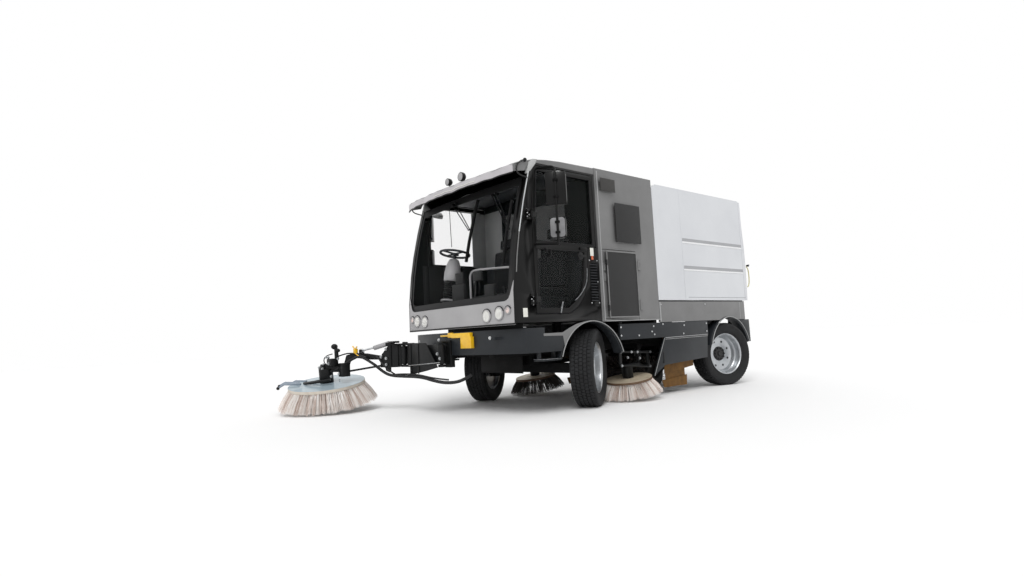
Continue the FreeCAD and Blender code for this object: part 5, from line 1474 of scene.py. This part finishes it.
cabPieces = (
    ("beam_knobs", beamKnobs, boltBrightAndKnobHighlight, None),
    ("front_mask", frontMask, maskGrey, "front_panel"),
    ("front_mask_lip", maskLip, sealRubberAndShade, "front_panel"),
    ("screen_border", screenBorder, sealRubberAndShade, None),
    ("screen_seal", screenSeal, sealRubberAndShade, None),
    ("lamp_bezels", lampBezel, maskGrey, "lamps"),
    ("lamp_bowls", lampBowl, reflector, "lamps"),
    ("lamp_lenses", lampLens, lampGlass, "lamps"),
    ("lamp_shade_arcs", lampShadeArc, sealRubberAndShade, None),
    ("corner_lamps", cornerLamp, lensPink, None),
    ("lamp_sockets", cornerSocket, maskGrey, None),
    ("visor_shade", visorShape, paleEnamel, None),
    ("visor_underside", visorUnder, blackEnamel, None),
    ("visor_lip", visorLip, fasciaGrey, None),
    ("visor_highlight", visorHighlight, labelWhiteAndHighlight, None),
    ("visor_rim", visorRim, sealRubberAndShade, None),
    ("pillar_highlight", pillarHighlight, pillarHighlightPaint, None),
    ("pillar_highlight_low", pillarHighlightDim, greyEnamelAndDimHighlight, None),
    ("visor_cheeks", visorSide, greyEnamelAndDimHighlight, None),
    ("corner_panels", cornerPanel, paleEnamel, None),
    ("visor_loops", visorLoop, hoseRubber, None),
    ("work_lamp_bodies", workLampBody, blackEnamel, "lamps"),
    ("work_lamp_lenses", workLampLens, maskGrey, "lamps"),
    ("wiper_sets", wiperShape, frameBlackAndShade, "wipers"),
    ("column_hood", columnShape, columnGrey, "dashboard"),
    ("column_bellows", columnBellows, sealRubberAndShade, "dashboard"),
    ("dashboard_made", dashShape, darkPlasticAndLouvreHighlight, "dashboard"),
    ("control_stand", consoleShape, darkPlasticAndLouvreHighlight, None),
    ("handrails", handrails, columnGrey, None),
    ("dash_clutter", dashClutter, sealRubberAndShade, None),
    ("interior_trim", interiorTrim, darkPlasticAndLouvreHighlight, None),
    ("corner_lining", cornerLining, edgeGreyAndHighlight, None),
)
for name, build, material, node in cabPieces:
    piece = joined(name, "root", material, build)
    if node:
        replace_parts(piece, node)
piece = joined("screen_glass", "root", screenGlass, lambda bm: sheetShape(bm, 24, 14, screenAt(10), 6))
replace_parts(piece, "windscreen")
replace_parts(joined("steering_wheel_made", "steering_wheel", darkPlasticAndLouvreHighlight, steeringWheel), "steering_wheel")
makeSeat("driver", 480)
makeSeat("passenger", -480)
roundedShell("cab_shell", blackEnamel, 5, isFrontCorner)
roundedShell("cab_roof", greyEnamelAndDimHighlight, 6, isRoofEdge, cutAt=-1052)
for side, sign in (("left", 1), ("right", -1)):
    body = "cab_door_" + side
    for name, build, material in (("highlight_line", doorHighlight, rawSteelAndHighlight), ("seals", doorTrim, sealRubberAndShade),
                                  ("fittings", doorFittings, sealRubberAndShade),
                                  ("mirror_shells", mirrorShell, frameBlackAndShade),
                                  ("mirror_rims", mirrorRim, greyEnamelAndDimHighlight),
                                  ("mirror_back_highlight", mirrorBackHighlight, edgeGreyAndHighlight),
                                  ("mirror_back", mirrorBack, mirrorBackReflection),
                                  ("mirror_faces", mirrorFace, mirrorGlass),
                                  ("mirror_arms", mirrorArms, frameBlackAndShade),
                                  ("wide_mirror", wedgeLamp, paleEnamel)):
        joined("door_" + name + "_" + side, body, material, lambda bm: build(bm, sign))
    for name, build, material in (("hinge_bolts", doorBolts, boltBrightAndKnobHighlight), ("louvres", louvreShape, darkPlasticAndLouvreHighlight),
                                  ("louvre_bolts", louvreBolts, boltBrightAndKnobHighlight)):
        joined("cab_" + name + "_" + side, "root", material, lambda bm: build(bm, sign))


def cabLabels(bm):
    boxShape(bm, (cab["half"] - 1, -1253, 1078), (cab["half"] + 1.5, -1189, 1174), bevel=0.5)
    boxShape(bm, (cab["half"] - 1, -146, 1790), (cab["half"] + 1.5, -86, 1886), bevel=0.5)


joined("cab_blank_labels", "root", labelWhiteAndHighlight, cabLabels)
joined("cab_warning_tag", "root", lampOrange,
       lambda bm: boxShape(bm, (cab["half"] - 1, -130, 1745), (cab["half"] + 2, -96, 1788), bevel=0.5))
print("cab made")


# Engine section and hopper
flank = {
    "engineHalf": 1133,
    "half": 1095,
    "engineTop": 2883,
    "hopperTop": 2875,
    "ribLevels": (2090, 1700),
    "ribY": (1773, 3381),
    "grilleHigh": ((313, 1982), (800, 2476)),
    "grilleLow": ((113, 1060), (661, 1848)),
    "vent": ((69, 2604), (341, 2764)),
}


def isEngineRoof(ends):
    return all(abs(end.x) > flank["engineHalf"] - 1 and end.z > flank["engineTop"] - 2 for end in ends)


def isHopperRoof(ends):
    return all(abs(end.x) > flank["half"] - 1 and end.z > flank["hopperTop"] - 2 for end in ends)


def sideBox(bm, sign, x0, x1, low, high, bevel=0):
    # a block on one side of the truck, from its distances out and its corners along and up
    ends = (sign * x0, sign * x1)
    return boxShape(bm, (min(ends), low[0], low[1]), (max(ends), high[0], high[1]), bevel=bevel)


def frameRound(bm, sign, x, low, high, width, height):
    # four folded strips round an opening
    (y0, z0), (y1, z1) = low, high
    for stripLow, stripHigh in (((y0 - width, z0 - width), (y1 + width, z0)),
                                ((y0 - width, z1), (y1 + width, z1 + width)),
                                ((y0 - width, z0), (y0, z1)), ((y1, z0), (y1 + width, z1))):
        sideBox(bm, sign, x - 1, x + height, stripLow, stripHigh, bevel=3)


def upperGrille(bm, sign):
    sideBox(bm, sign, flank["engineHalf"] - 1, flank["engineHalf"] + 3, *flank["grilleHigh"], bevel=1)


def lowerGrille(bm, sign):
    sideBox(bm, sign, flank["engineHalf"] - 1, flank["engineHalf"] + 3, *flank["grilleLow"], bevel=1)


def lowerGrilleFrame(bm, sign):
    frameRound(bm, sign, flank["engineHalf"], *flank["grilleLow"], 16, 7)


def ventPlate(bm, sign):
    sideBox(bm, sign, flank["engineHalf"] - 1, flank["engineHalf"] + 3, *flank["vent"], bevel=1)


def engineSeam(bm, sign):
    # light folded edges at the front of the housing and along its foot
    sideBox(bm, sign, flank["engineHalf"] - 3, flank["engineHalf"] + 2, (5, 1010), (19, 2840), bevel=2)
    sideBox(bm, sign, flank["engineHalf"] - 3, flank["engineHalf"] + 2, (30, 1003), (1130, 1013), bevel=2)
    sideBox(bm, sign, flank["half"] - 3, flank["half"] + 3, (1146, 975), (1172, 1238), bevel=2)
    sideBox(bm, sign, flank["half"] - 3, flank["half"] + 1.5, (3190, 985), (3200, 1236), bevel=1)


def engineLatches(bm, sign):
    for z in (1718, 1162):
        sideBox(bm, sign, flank["engineHalf"] - 1, flank["engineHalf"] + 17, (72, z - 34), (100, z + 34),
                bevel=6)


def ribUpper(bm, sign):
    # pressed stiffening ribs along the hopper's side, their upper slopes coloured grey as painted shade
    x = flank["half"]
    y0, y1 = flank["ribY"]
    for z in flank["ribLevels"]:
        plateShape(bm, [(sign * (x - 1), y0, z + 56), (sign * (x + 7), y0, z + 2),
                        (sign * (x - 1), y0, z + 2)],
                   (0, y1 - y0, 0))


def ribLower(bm, sign):
    # the ribs' lower lips, near white as painted highlight where they face the light
    x = flank["half"]
    y0, y1 = flank["ribY"]
    for z in flank["ribLevels"]:
        plateShape(bm, [(sign * (x - 1), y0, z + 2), (sign * (x + 7), y0, z + 2),
                        (sign * (x - 1), y0, z - 20)],
                   (0, y1 - y0, 0))


def hopperGroove(bm, sign):
    # painted shade: a thin grey line along the groove low on the hopper's side
    x = flank["half"]
    sideBox(bm, sign, x - 1, x + 1.5, (1840, 1300), (3400, 1307), bevel=0.5)


def hopperCrease(bm, sign):
    # shallow fold that parts the hopper's plain front from its ribbed rear
    sideBox(bm, sign, flank["half"] - 1, flank["half"] + 3, (1762, 1265), (1776, 2840), bevel=1.5)


def hopperGap(bm, sign):
    # black rubber strip in the gap between hopper and sill
    sideBox(bm, sign, flank["half"] - 20, flank["half"] + 1, (1146, 1243), (3280, 1260), bevel=2)


# Beams, skirts and wheel arches
def arcPoints(x, y, radius, start, end, steps=36):
    spots = []
    for step in range(steps + 1):
        angle = math.radians(start + (end - start) * step / steps)
        spots.append((x, y + radius * math.cos(angle), wheels["radius"] + radius * math.sin(angle)))
    return spots


def archHighlights(bm, sign):
    # painted highlight: a thin light grey line along the top edge of each wheel arch
    for end in ("front", "rear"):
        chainShape(bm, arcPoints(sign * (flank["half"] + 1), wheels["axleY"][end], 552, 17, 163), 6)


def archFlare(bm, sign):
    # light flange under the door that widens into the front arch
    x = sign * (flank["half"] - 3)
    outline = [(-974, 894), (-681, 897), (-577, 942), (-451, 986), (-323, 1010), (-189, 1025)]
    outline += [(y, z) for _, y, z in arcPoints(x, wheels["axleY"]["front"], 556, 93, 150, steps=14)]
    outline += [(-679, 861), (-974, 867)]
    plateShape(bm, [(x, y, z) for y, z in outline], (sign * 5, 0, 0), bevel=1)


def skirtLines(bm, sign):
    # two bright folds along the skirt's top, and one down its front edge
    x = sign * (flank["half"] - 2)
    rodShape(bm, (x, 1232, 762), (x, 2246, 772), 5, segments=8)
    rodShape(bm, (x, 1228, 742), (x, 2244, 750), 3.5, segments=8)
    rodShape(bm, (x, 1216, 762), (x, 948, 283), 4, segments=8)


def beamBolts(bm, sign):
    x = sign * (flank["half"] + 1)
    spots = [(x, y, z) for y,
             z in ((330, 925), (330, 822), (987, 921), (947, 853), (996, 814), (1674, 916), (1648, 804),
                                    (2225, 929), (2225, 818), (675, 812), (1190, 944))]
    spots += [(x, y, z) for y, z in ((1172, 1205), (2230, 1206))]
    boltHeads(bm, spots, (sign, 0, 0), radius=9, height=7)


def skirtSlot(bm, sign):
    # dark pull in the skirt's front end
    sideBox(bm, sign, flank["half"] - 8, flank["half"] + 1, (1160, 444), (1182, 575), bevel=4)
    sideBox(bm, sign, flank["half"] - 8, flank["half"] + 4, (1150, 430), (1186, 456), bevel=4)


def wheelHouse(bm, sign):
    # liner over the rear wheel, and the tail corner's edge
    sideBox(bm, sign, 630, 640, (2400, 800), (3330, 1085), bevel=2)
    sideBox(bm, sign, 640, 960, (2330, 1030), (3400, 1040), bevel=2)


def underTray(bm):
    # closed dirt duct behind the main brush, the cab floor's front wall and a plate under the cab; black
    # sheets that also stand as painted shade, shutting gaps where the floor would show through under the truck
    boxShape(bm, (-700, 2130, 330), (700, 2150, 800), bevel=3)
    boxShape(bm, (-380, -1230, 935), (1040, -1215, 1030), bevel=3)
    boxShape(bm, (-20, -620, 500), (-10, 320, 650), bevel=3)


def stepTread(bm, sign):
    sideBox(bm, sign, flank["half"] - 172, flank["half"] - 16, (-986, 609), (-692, 614), bevel=1)


def sideLinkage(bm, sign):
    # two parallel bars that carry the side brush
    x = sign * 968
    for start, end in (((415, 618), (1035, 586)), ((415, 446), (1020, 402))):
        rodShape(bm, (x, *start), (x, *end), 16, segments=12, bevel=3)
    sideBox(bm, sign, 930, 958, (985, 380), (1040, 610), bevel=6)
    sideBox(bm, sign, 930, 958, (430, 440), (480, 640), bevel=6)


def linkageBolts(bm, sign):
    for y, z in ((440, 617), (640, 607), (760, 600), (1030, 587), (440, 445), (1015, 403), (560, 540),
                 (800, 520)):
        boltHeads(bm, [(sign * 982, y, z)], (sign, 0, 0), radius=13, height=12)


for node, predicate, material in (("engine_housing", isEngineRoof, greyEnamelAndDimHighlight),
                                  ("hopper", isHopperRoof, whiteEnamel)):
    roundedShell(node, material, 6, predicate, flat=True)
for side, sign in (("left", 1), ("right", -1)):
    for name, build, material, owner in (
            ("upper_grille", upperGrille, grilleMesh, "root"),
            ("lower_grille", lowerGrille, grilleMesh, "engine_door_" + side),
            ("lower_grille_frame", lowerGrilleFrame, greyEnamelAndDimHighlight, "engine_door_" + side),
            ("engine_latches", engineLatches, sealRubberAndShade, "engine_door_" + side),
            ("vent_plate", ventPlate, ventMesh, "root"),
            ("folded_edges", engineSeam, edgeGreyAndHighlight, "root"),
            ("rib_shades", ribUpper, ribPaintedShade, "hopper"),
            ("rib_highlights", ribLower, ribPaintedHighlight, "hopper"),
            ("hopper_groove", hopperGroove, ribPaintedShade, "hopper"),
            ("hopper_crease", hopperCrease, whiteEnamel, "hopper"),
            ("hopper_gap", hopperGap, sealRubberAndShade, "root"),
            ("arch_highlights", archHighlights, edgeGreyAndHighlight, "root"),
            ("arch_flare", archFlare, greyEnamelAndDimHighlight, "root"),
            ("skirt_folds", skirtLines, edgeGreyAndHighlight, "root"),
            ("beam_bolts", beamBolts, boltBrightAndKnobHighlight, "root"),
            ("skirt_slot", skirtSlot, sealRubberAndShade, "root"),
            ("wheel_house", wheelHouse, frameBlackAndShade, "root"),
            ("step_tread", stepTread, rawSteelAndHighlight, "root"),
            ("linkage_bars", sideLinkage, armBlack, "side_arm_" + side),
            ("linkage_bolts", linkageBolts, zincSteel, "side_arm_" + side)):
        joined(name + "_" + side, owner, material, lambda bm: build(bm, sign))
joined("under_tray", "root", frameBlackAndShade, underTray)


def tailFitting(bm):
    # water fitting at the tailgate's left edge
    hoseShape(bm, [(1060, 3560, 1800), (1064, 3600, 1790), (1068, 3612, 1640), (1062, 3600, 1500),
                   (1056, 3562, 1480)], 8,
              segments=12)


def tailKnob(bm):
    rodShape(bm, (1066, 3592, 1806), (1066, 3592, 1832), 22, segments=16, bevel=4)
    rodShape(bm, (1066, 3592, 1830), (1066, 3640, 1834), 8, segments=10)


joined("tail_fitting", "tailgate", fittingPaint, tailFitting)
joined("tail_knob", "tailgate", sealRubberAndShade, tailKnob)
print("engine section, hopper and sides made")


# Front arm
def headHoses(bm):
    hoseShape(bm, [(-2030, -2200, 560), (-1905, -2140, 525), (-1800, -2080, 555), (-1710, -2030, 610),
                   (-1640, -1990, 655)], 17, segments=10, ribs=14)
    hoseShape(bm, [(-1865, -2110, 765), (-1955, -2160, 750), (-1995, -2180, 695), (-1985, -2170, 635),
                   (-1930, -2140, 605)], 7)
    hoseShape(bm, [(-1795, -2075, 725), (-1720, -2035, 752), (-1650, -2000, 762)], 9)


def armHoses(bm):
    # corrugated hydraulic hoses laid along the lifting arm
    hoseShape(bm, [(-1640, -1990, 655), (-1550, -1945, 700), (-1480, -1910, 722), (-1380, -1855, 680),
                   (-1265, -1795, 600)], 19, segments=10, ribs=14)
    hoseShape(bm, [(-1650, -2000, 762), (-1560, -1950, 765), (-1480, -1910, 742), (-1380, -1855, 702)], 10)


def outerHoses(bm):
    hoseShape(bm, [(-1265, -1795, 600), (-1200, -1760, 545), (-1135, -1728, 498), (-1060, -1690, 462),
                   (-995, -1650, 452)], 20, segments=10, ribs=14)
    hoseShape(bm, [(-1245, -1785, 715), (-1205, -1765, 680), (-1165, -1745, 615), (-1085, -1700, 525),
                   (-995, -1650, 470)], 10)


def innerHoses(bm):
    hoseShape(bm, [(-995, -1650, 452), (-830, -1600, 444), (-665, -1592, 446), (-425, -1582, 438),
                   (-180, -1572, 398),
                   (60, -1555, 380), (240, -1480, 400), (300, -1380, 470)], 20, segments=10, ribs=14)
    hoseShape(bm, [(-995, -1650, 470), (-830, -1605, 478), (-500, -1592, 470), (-200, -1580, 430),
                   (80, -1560, 420)], 10)


def headBlock(bm):
    # motor with its ports, valve block and cover
    boxShape(bm, (-1770, -2075, 460), (-1640, -1960, 640), bevel=10)
    boxShape(bm, (-1930, -2170, 600), (-1780, -2060, 705), bevel=14)
    ballShape(bm, (-1840, -2090, 862), 44, squash=(1.0, 1.0, 0.85))
    ballShape(bm, (-1788, -2068, 808), 34, squash=(1.0, 1.0, 0.8))
    rodShape(bm, (-1800, -2075, 690), (-1815, -2080, 840), 30, 24, segments=20, bevel=4)
    boxShape(bm, (-2050, -2215, 560), (-1960, -2150, 620), bevel=10)


def headBolts(bm):
    spots = ((-1905, -2180, 725), (-1740, -2085, 700), (-1830, -2180, 640), (-1930, -2225, 575),
             (-2030, -2230, 590), (-1730, -2084, 500), (-1820, -2150, 470))
    boltHeads(bm, spots, (0.45, -0.9, 0.1), radius=14, height=14)
    for spot in ((-1905, -2150, 720), (-1990, -2190, 630)):
        ballShape(bm, spot, 18, rings=6)


def kneeBolts(bm):
    spots = ((-1095, -1722, 800), (-1095, -1722, 680), (-1095, -1722, 600), (-1160, -1758, 700))
    boltHeads(bm, spots, (0.45, -0.9, 0), radius=14, height=12)


def kneeCap(bm):
    # gusset and cap at the outer boom's end
    plateShape(bm, [(-1175, -1742, 730), (-1075, -1690, 850), (-1075, -1690, 500), (-1120, -1712, 520)],
               (12, 24, 0))
    boxShape(bm, (-1070, -1690, 870), (-960, -1590, 896), bevel=8)


def innerCheek(bm):
    # deep side plate of the inner boom, with its brace
    plateShape(bm, [(-735, -1584, 862), (-345, -1584, 852), (-100, -1584, 560), (-365, -1584, 515),
                    (-735, -1584, 462)],
               (0, 10, 0), bevel=2)
    for x in (-700, -520):
        boxShape(bm, (x - 9, -1592, 480), (x + 9, -1584, 850), bevel=2)
    rodShape(bm, (-900, -1580, 862), (-840, -1550, 858), 20, segments=16, bevel=4)


def innerBits(bm):
    rodShape(bm, (-730, -1600, 580), (-40, -1592, 618), 6, segments=8)
    boltHeads(bm, ((-85, -1590, 720), (-35, -1590, 665)), (0.2, -1, 0), radius=14, height=12)


def clipShape(bm):
    # yellow transport clip over the cylinder's eye
    rodShape(bm, (-1530, -1940, 812), (-1565, -1955, 856), 9, segments=10)
    rodShape(bm, (-1530, -1940, 812), (-1500, -1925, 848), 9, segments=10)
    boxShape(bm, (-1562, -1955, 760), (-1512, -1905, 822), bevel=8)
    rodShape(bm, (-1540, -1945, 770), (-1480, -1915, 724), 8, segments=10)


def barrelSleeve(bm):
    way = Vector((-1375, -1790, 806)) - Vector((-1130, -1628, 878))
    start = Vector((-1150, -1641, 872))
    rodShape(bm, start, start + way.normalized() * 225, 30, segments=24, bevel=4)


def guardRing(bm):
    # bent flat guard above the disc, fixed to the head
    hoseShape(bm, [(-1760, -2190, 432), (-1900, -2330, 400), (-2120, -2400, 388), (-2330, -2330, 384),
                   (-2420, -2160, 388)], 17, segments=8)
    hoseShape(bm, [(-1960, -2200, 430), (-2100, -2280, 400), (-2330, -2330, 384)], 13, segments=8)


def hookShape(bm):
    for tip, knee, root in (((-2560, -2420, 380), (-2500, -2380, 412), (-2330, -2290, 402)),
                            ((-2430, -2620, 372), (-2380, -2570, 408), (-2210, -2440, 396)),
                            ((-2180, -2720, 360), (-2150, -2660, 400), (-2030, -2480, 392))):
        rodShape(bm, knee, root, 14, 17, segments=10, bevel=2)
        rodShape(bm, tip, knee, 13, segments=10, bevel=2)


def hookTips(bm):
    for tip in ((-2566, -2424, 372), (-2436, -2626, 364), (-2184, -2728, 352)):
        ballShape(bm, tip, 22, rings=8)


for name, build, material, node in (
        ("head_hoses", headHoses, hoseRubber, "brush_head"), ("arm_hoses", armHoses, hoseRubber, "lift_arm"),
        ("outer_hoses", outerHoses, hoseRubber, "boom_outer"),
        ("inner_hoses", innerHoses, hoseRubber, "boom_inner"),
        ("head_block", headBlock, armBlack, "brush_head"), ("head_bolts", headBolts, zincSteel, "brush_head"),
        ("knee_bolts", kneeBolts, zincSteel, "boom_outer"), ("knee_cap", kneeCap, armBlack, "boom_outer"),
        ("inner_cheek", innerCheek, armBlack, "boom_inner"),
        ("inner_bits", innerBits, zincSteel, "boom_inner"),
        ("clip", clipShape, leverYellow, "lift_arm"),
        ("barrel_sleeve", barrelSleeve, columnGrey, "lift_barrel"),
        ("guard_ring", guardRing, armBlack, "brush_head"), ("hooks", hookShape, hookBlue, "brush_head"),
        ("hook_tips", hookTips, armBlack, "brush_head")):
    joined("arm_" + name, bodyOf(node), material, build)
print("front arm made")


# Floor, world and light
def makeLight(name, kind, spot, towards, energy, size, colour="#FFFFFF"):
    data = bpy.data.lights.new(name, kind)
    data.energy = energy
    data.color = linear(colour)[:3]
    if kind == "AREA":
        data.shape = "DISK"
        data.size = size
    else:
        data.angle = size
    holder = bpy.data.objects.new(name, data)
    holder.location = place(*spot)
    way = place(*towards) - place(*spot)
    holder.rotation_euler = way.to_track_quat("-Z", "Y").to_euler()
    scene.collection.objects.link(holder)


def makeWorld():
    world = bpy.data.worlds.new("plain light room")
    world.use_nodes = True
    scene.world = world
    tree = world.node_tree
    background = tree.nodes["Background"]
    path = addNode(tree, "ShaderNodeLightPath")
    seen = addNode(tree, "ShaderNodeMath", {"operation": "MAXIMUM"})
    tree.links.new(path.outputs["Is Camera Ray"], seen.inputs[0])
    tree.links.new(path.outputs["Is Transmission Ray"], seen.inputs[1])
    every = addNode(tree, "ShaderNodeMath", {"operation": "MAXIMUM"})
    tree.links.new(seen.outputs["Value"], every.inputs[0])
    tree.links.new(path.outputs["Is Glossy Ray"], every.inputs[1])
    level = addNode(tree, "ShaderNodeMapRange", {"To Min": 0.75, "To Max": 1.0},
                    {"Value": every.outputs["Value"]})
    background.inputs["Color"].default_value = (1, 1, 1, 1)
    tree.links.new(level.outputs["Result"], background.inputs["Strength"])


def makeFloor():
    looks = {"Base Color": linear("#FFFFFF"), "Roughness": 0.9, "Specular IOR Level": 0.1}
    material = newMaterial("white studio floor", looks)[0]
    floorMesh = bpy.data.meshes.new("floor")
    bm = bmesh.new()
    bmesh.ops.create_grid(bm, x_segments=1, y_segments=1, size=60)
    bm.to_mesh(floorMesh)
    bm.free()
    floorMesh.materials.append(material)
    floor = bpy.data.objects.new("floor", floorMesh)
    floor.location = (0, 0, -0.001)
    scene.collection.objects.link(floor)


makeWorld()
makeFloor()
makeLight("high sun", "SUN", (4000, -5000, 8000), (0, 0, 0), 1.2, math.radians(30))
scene.view_settings.view_transform = "Standard"
print("stage made")
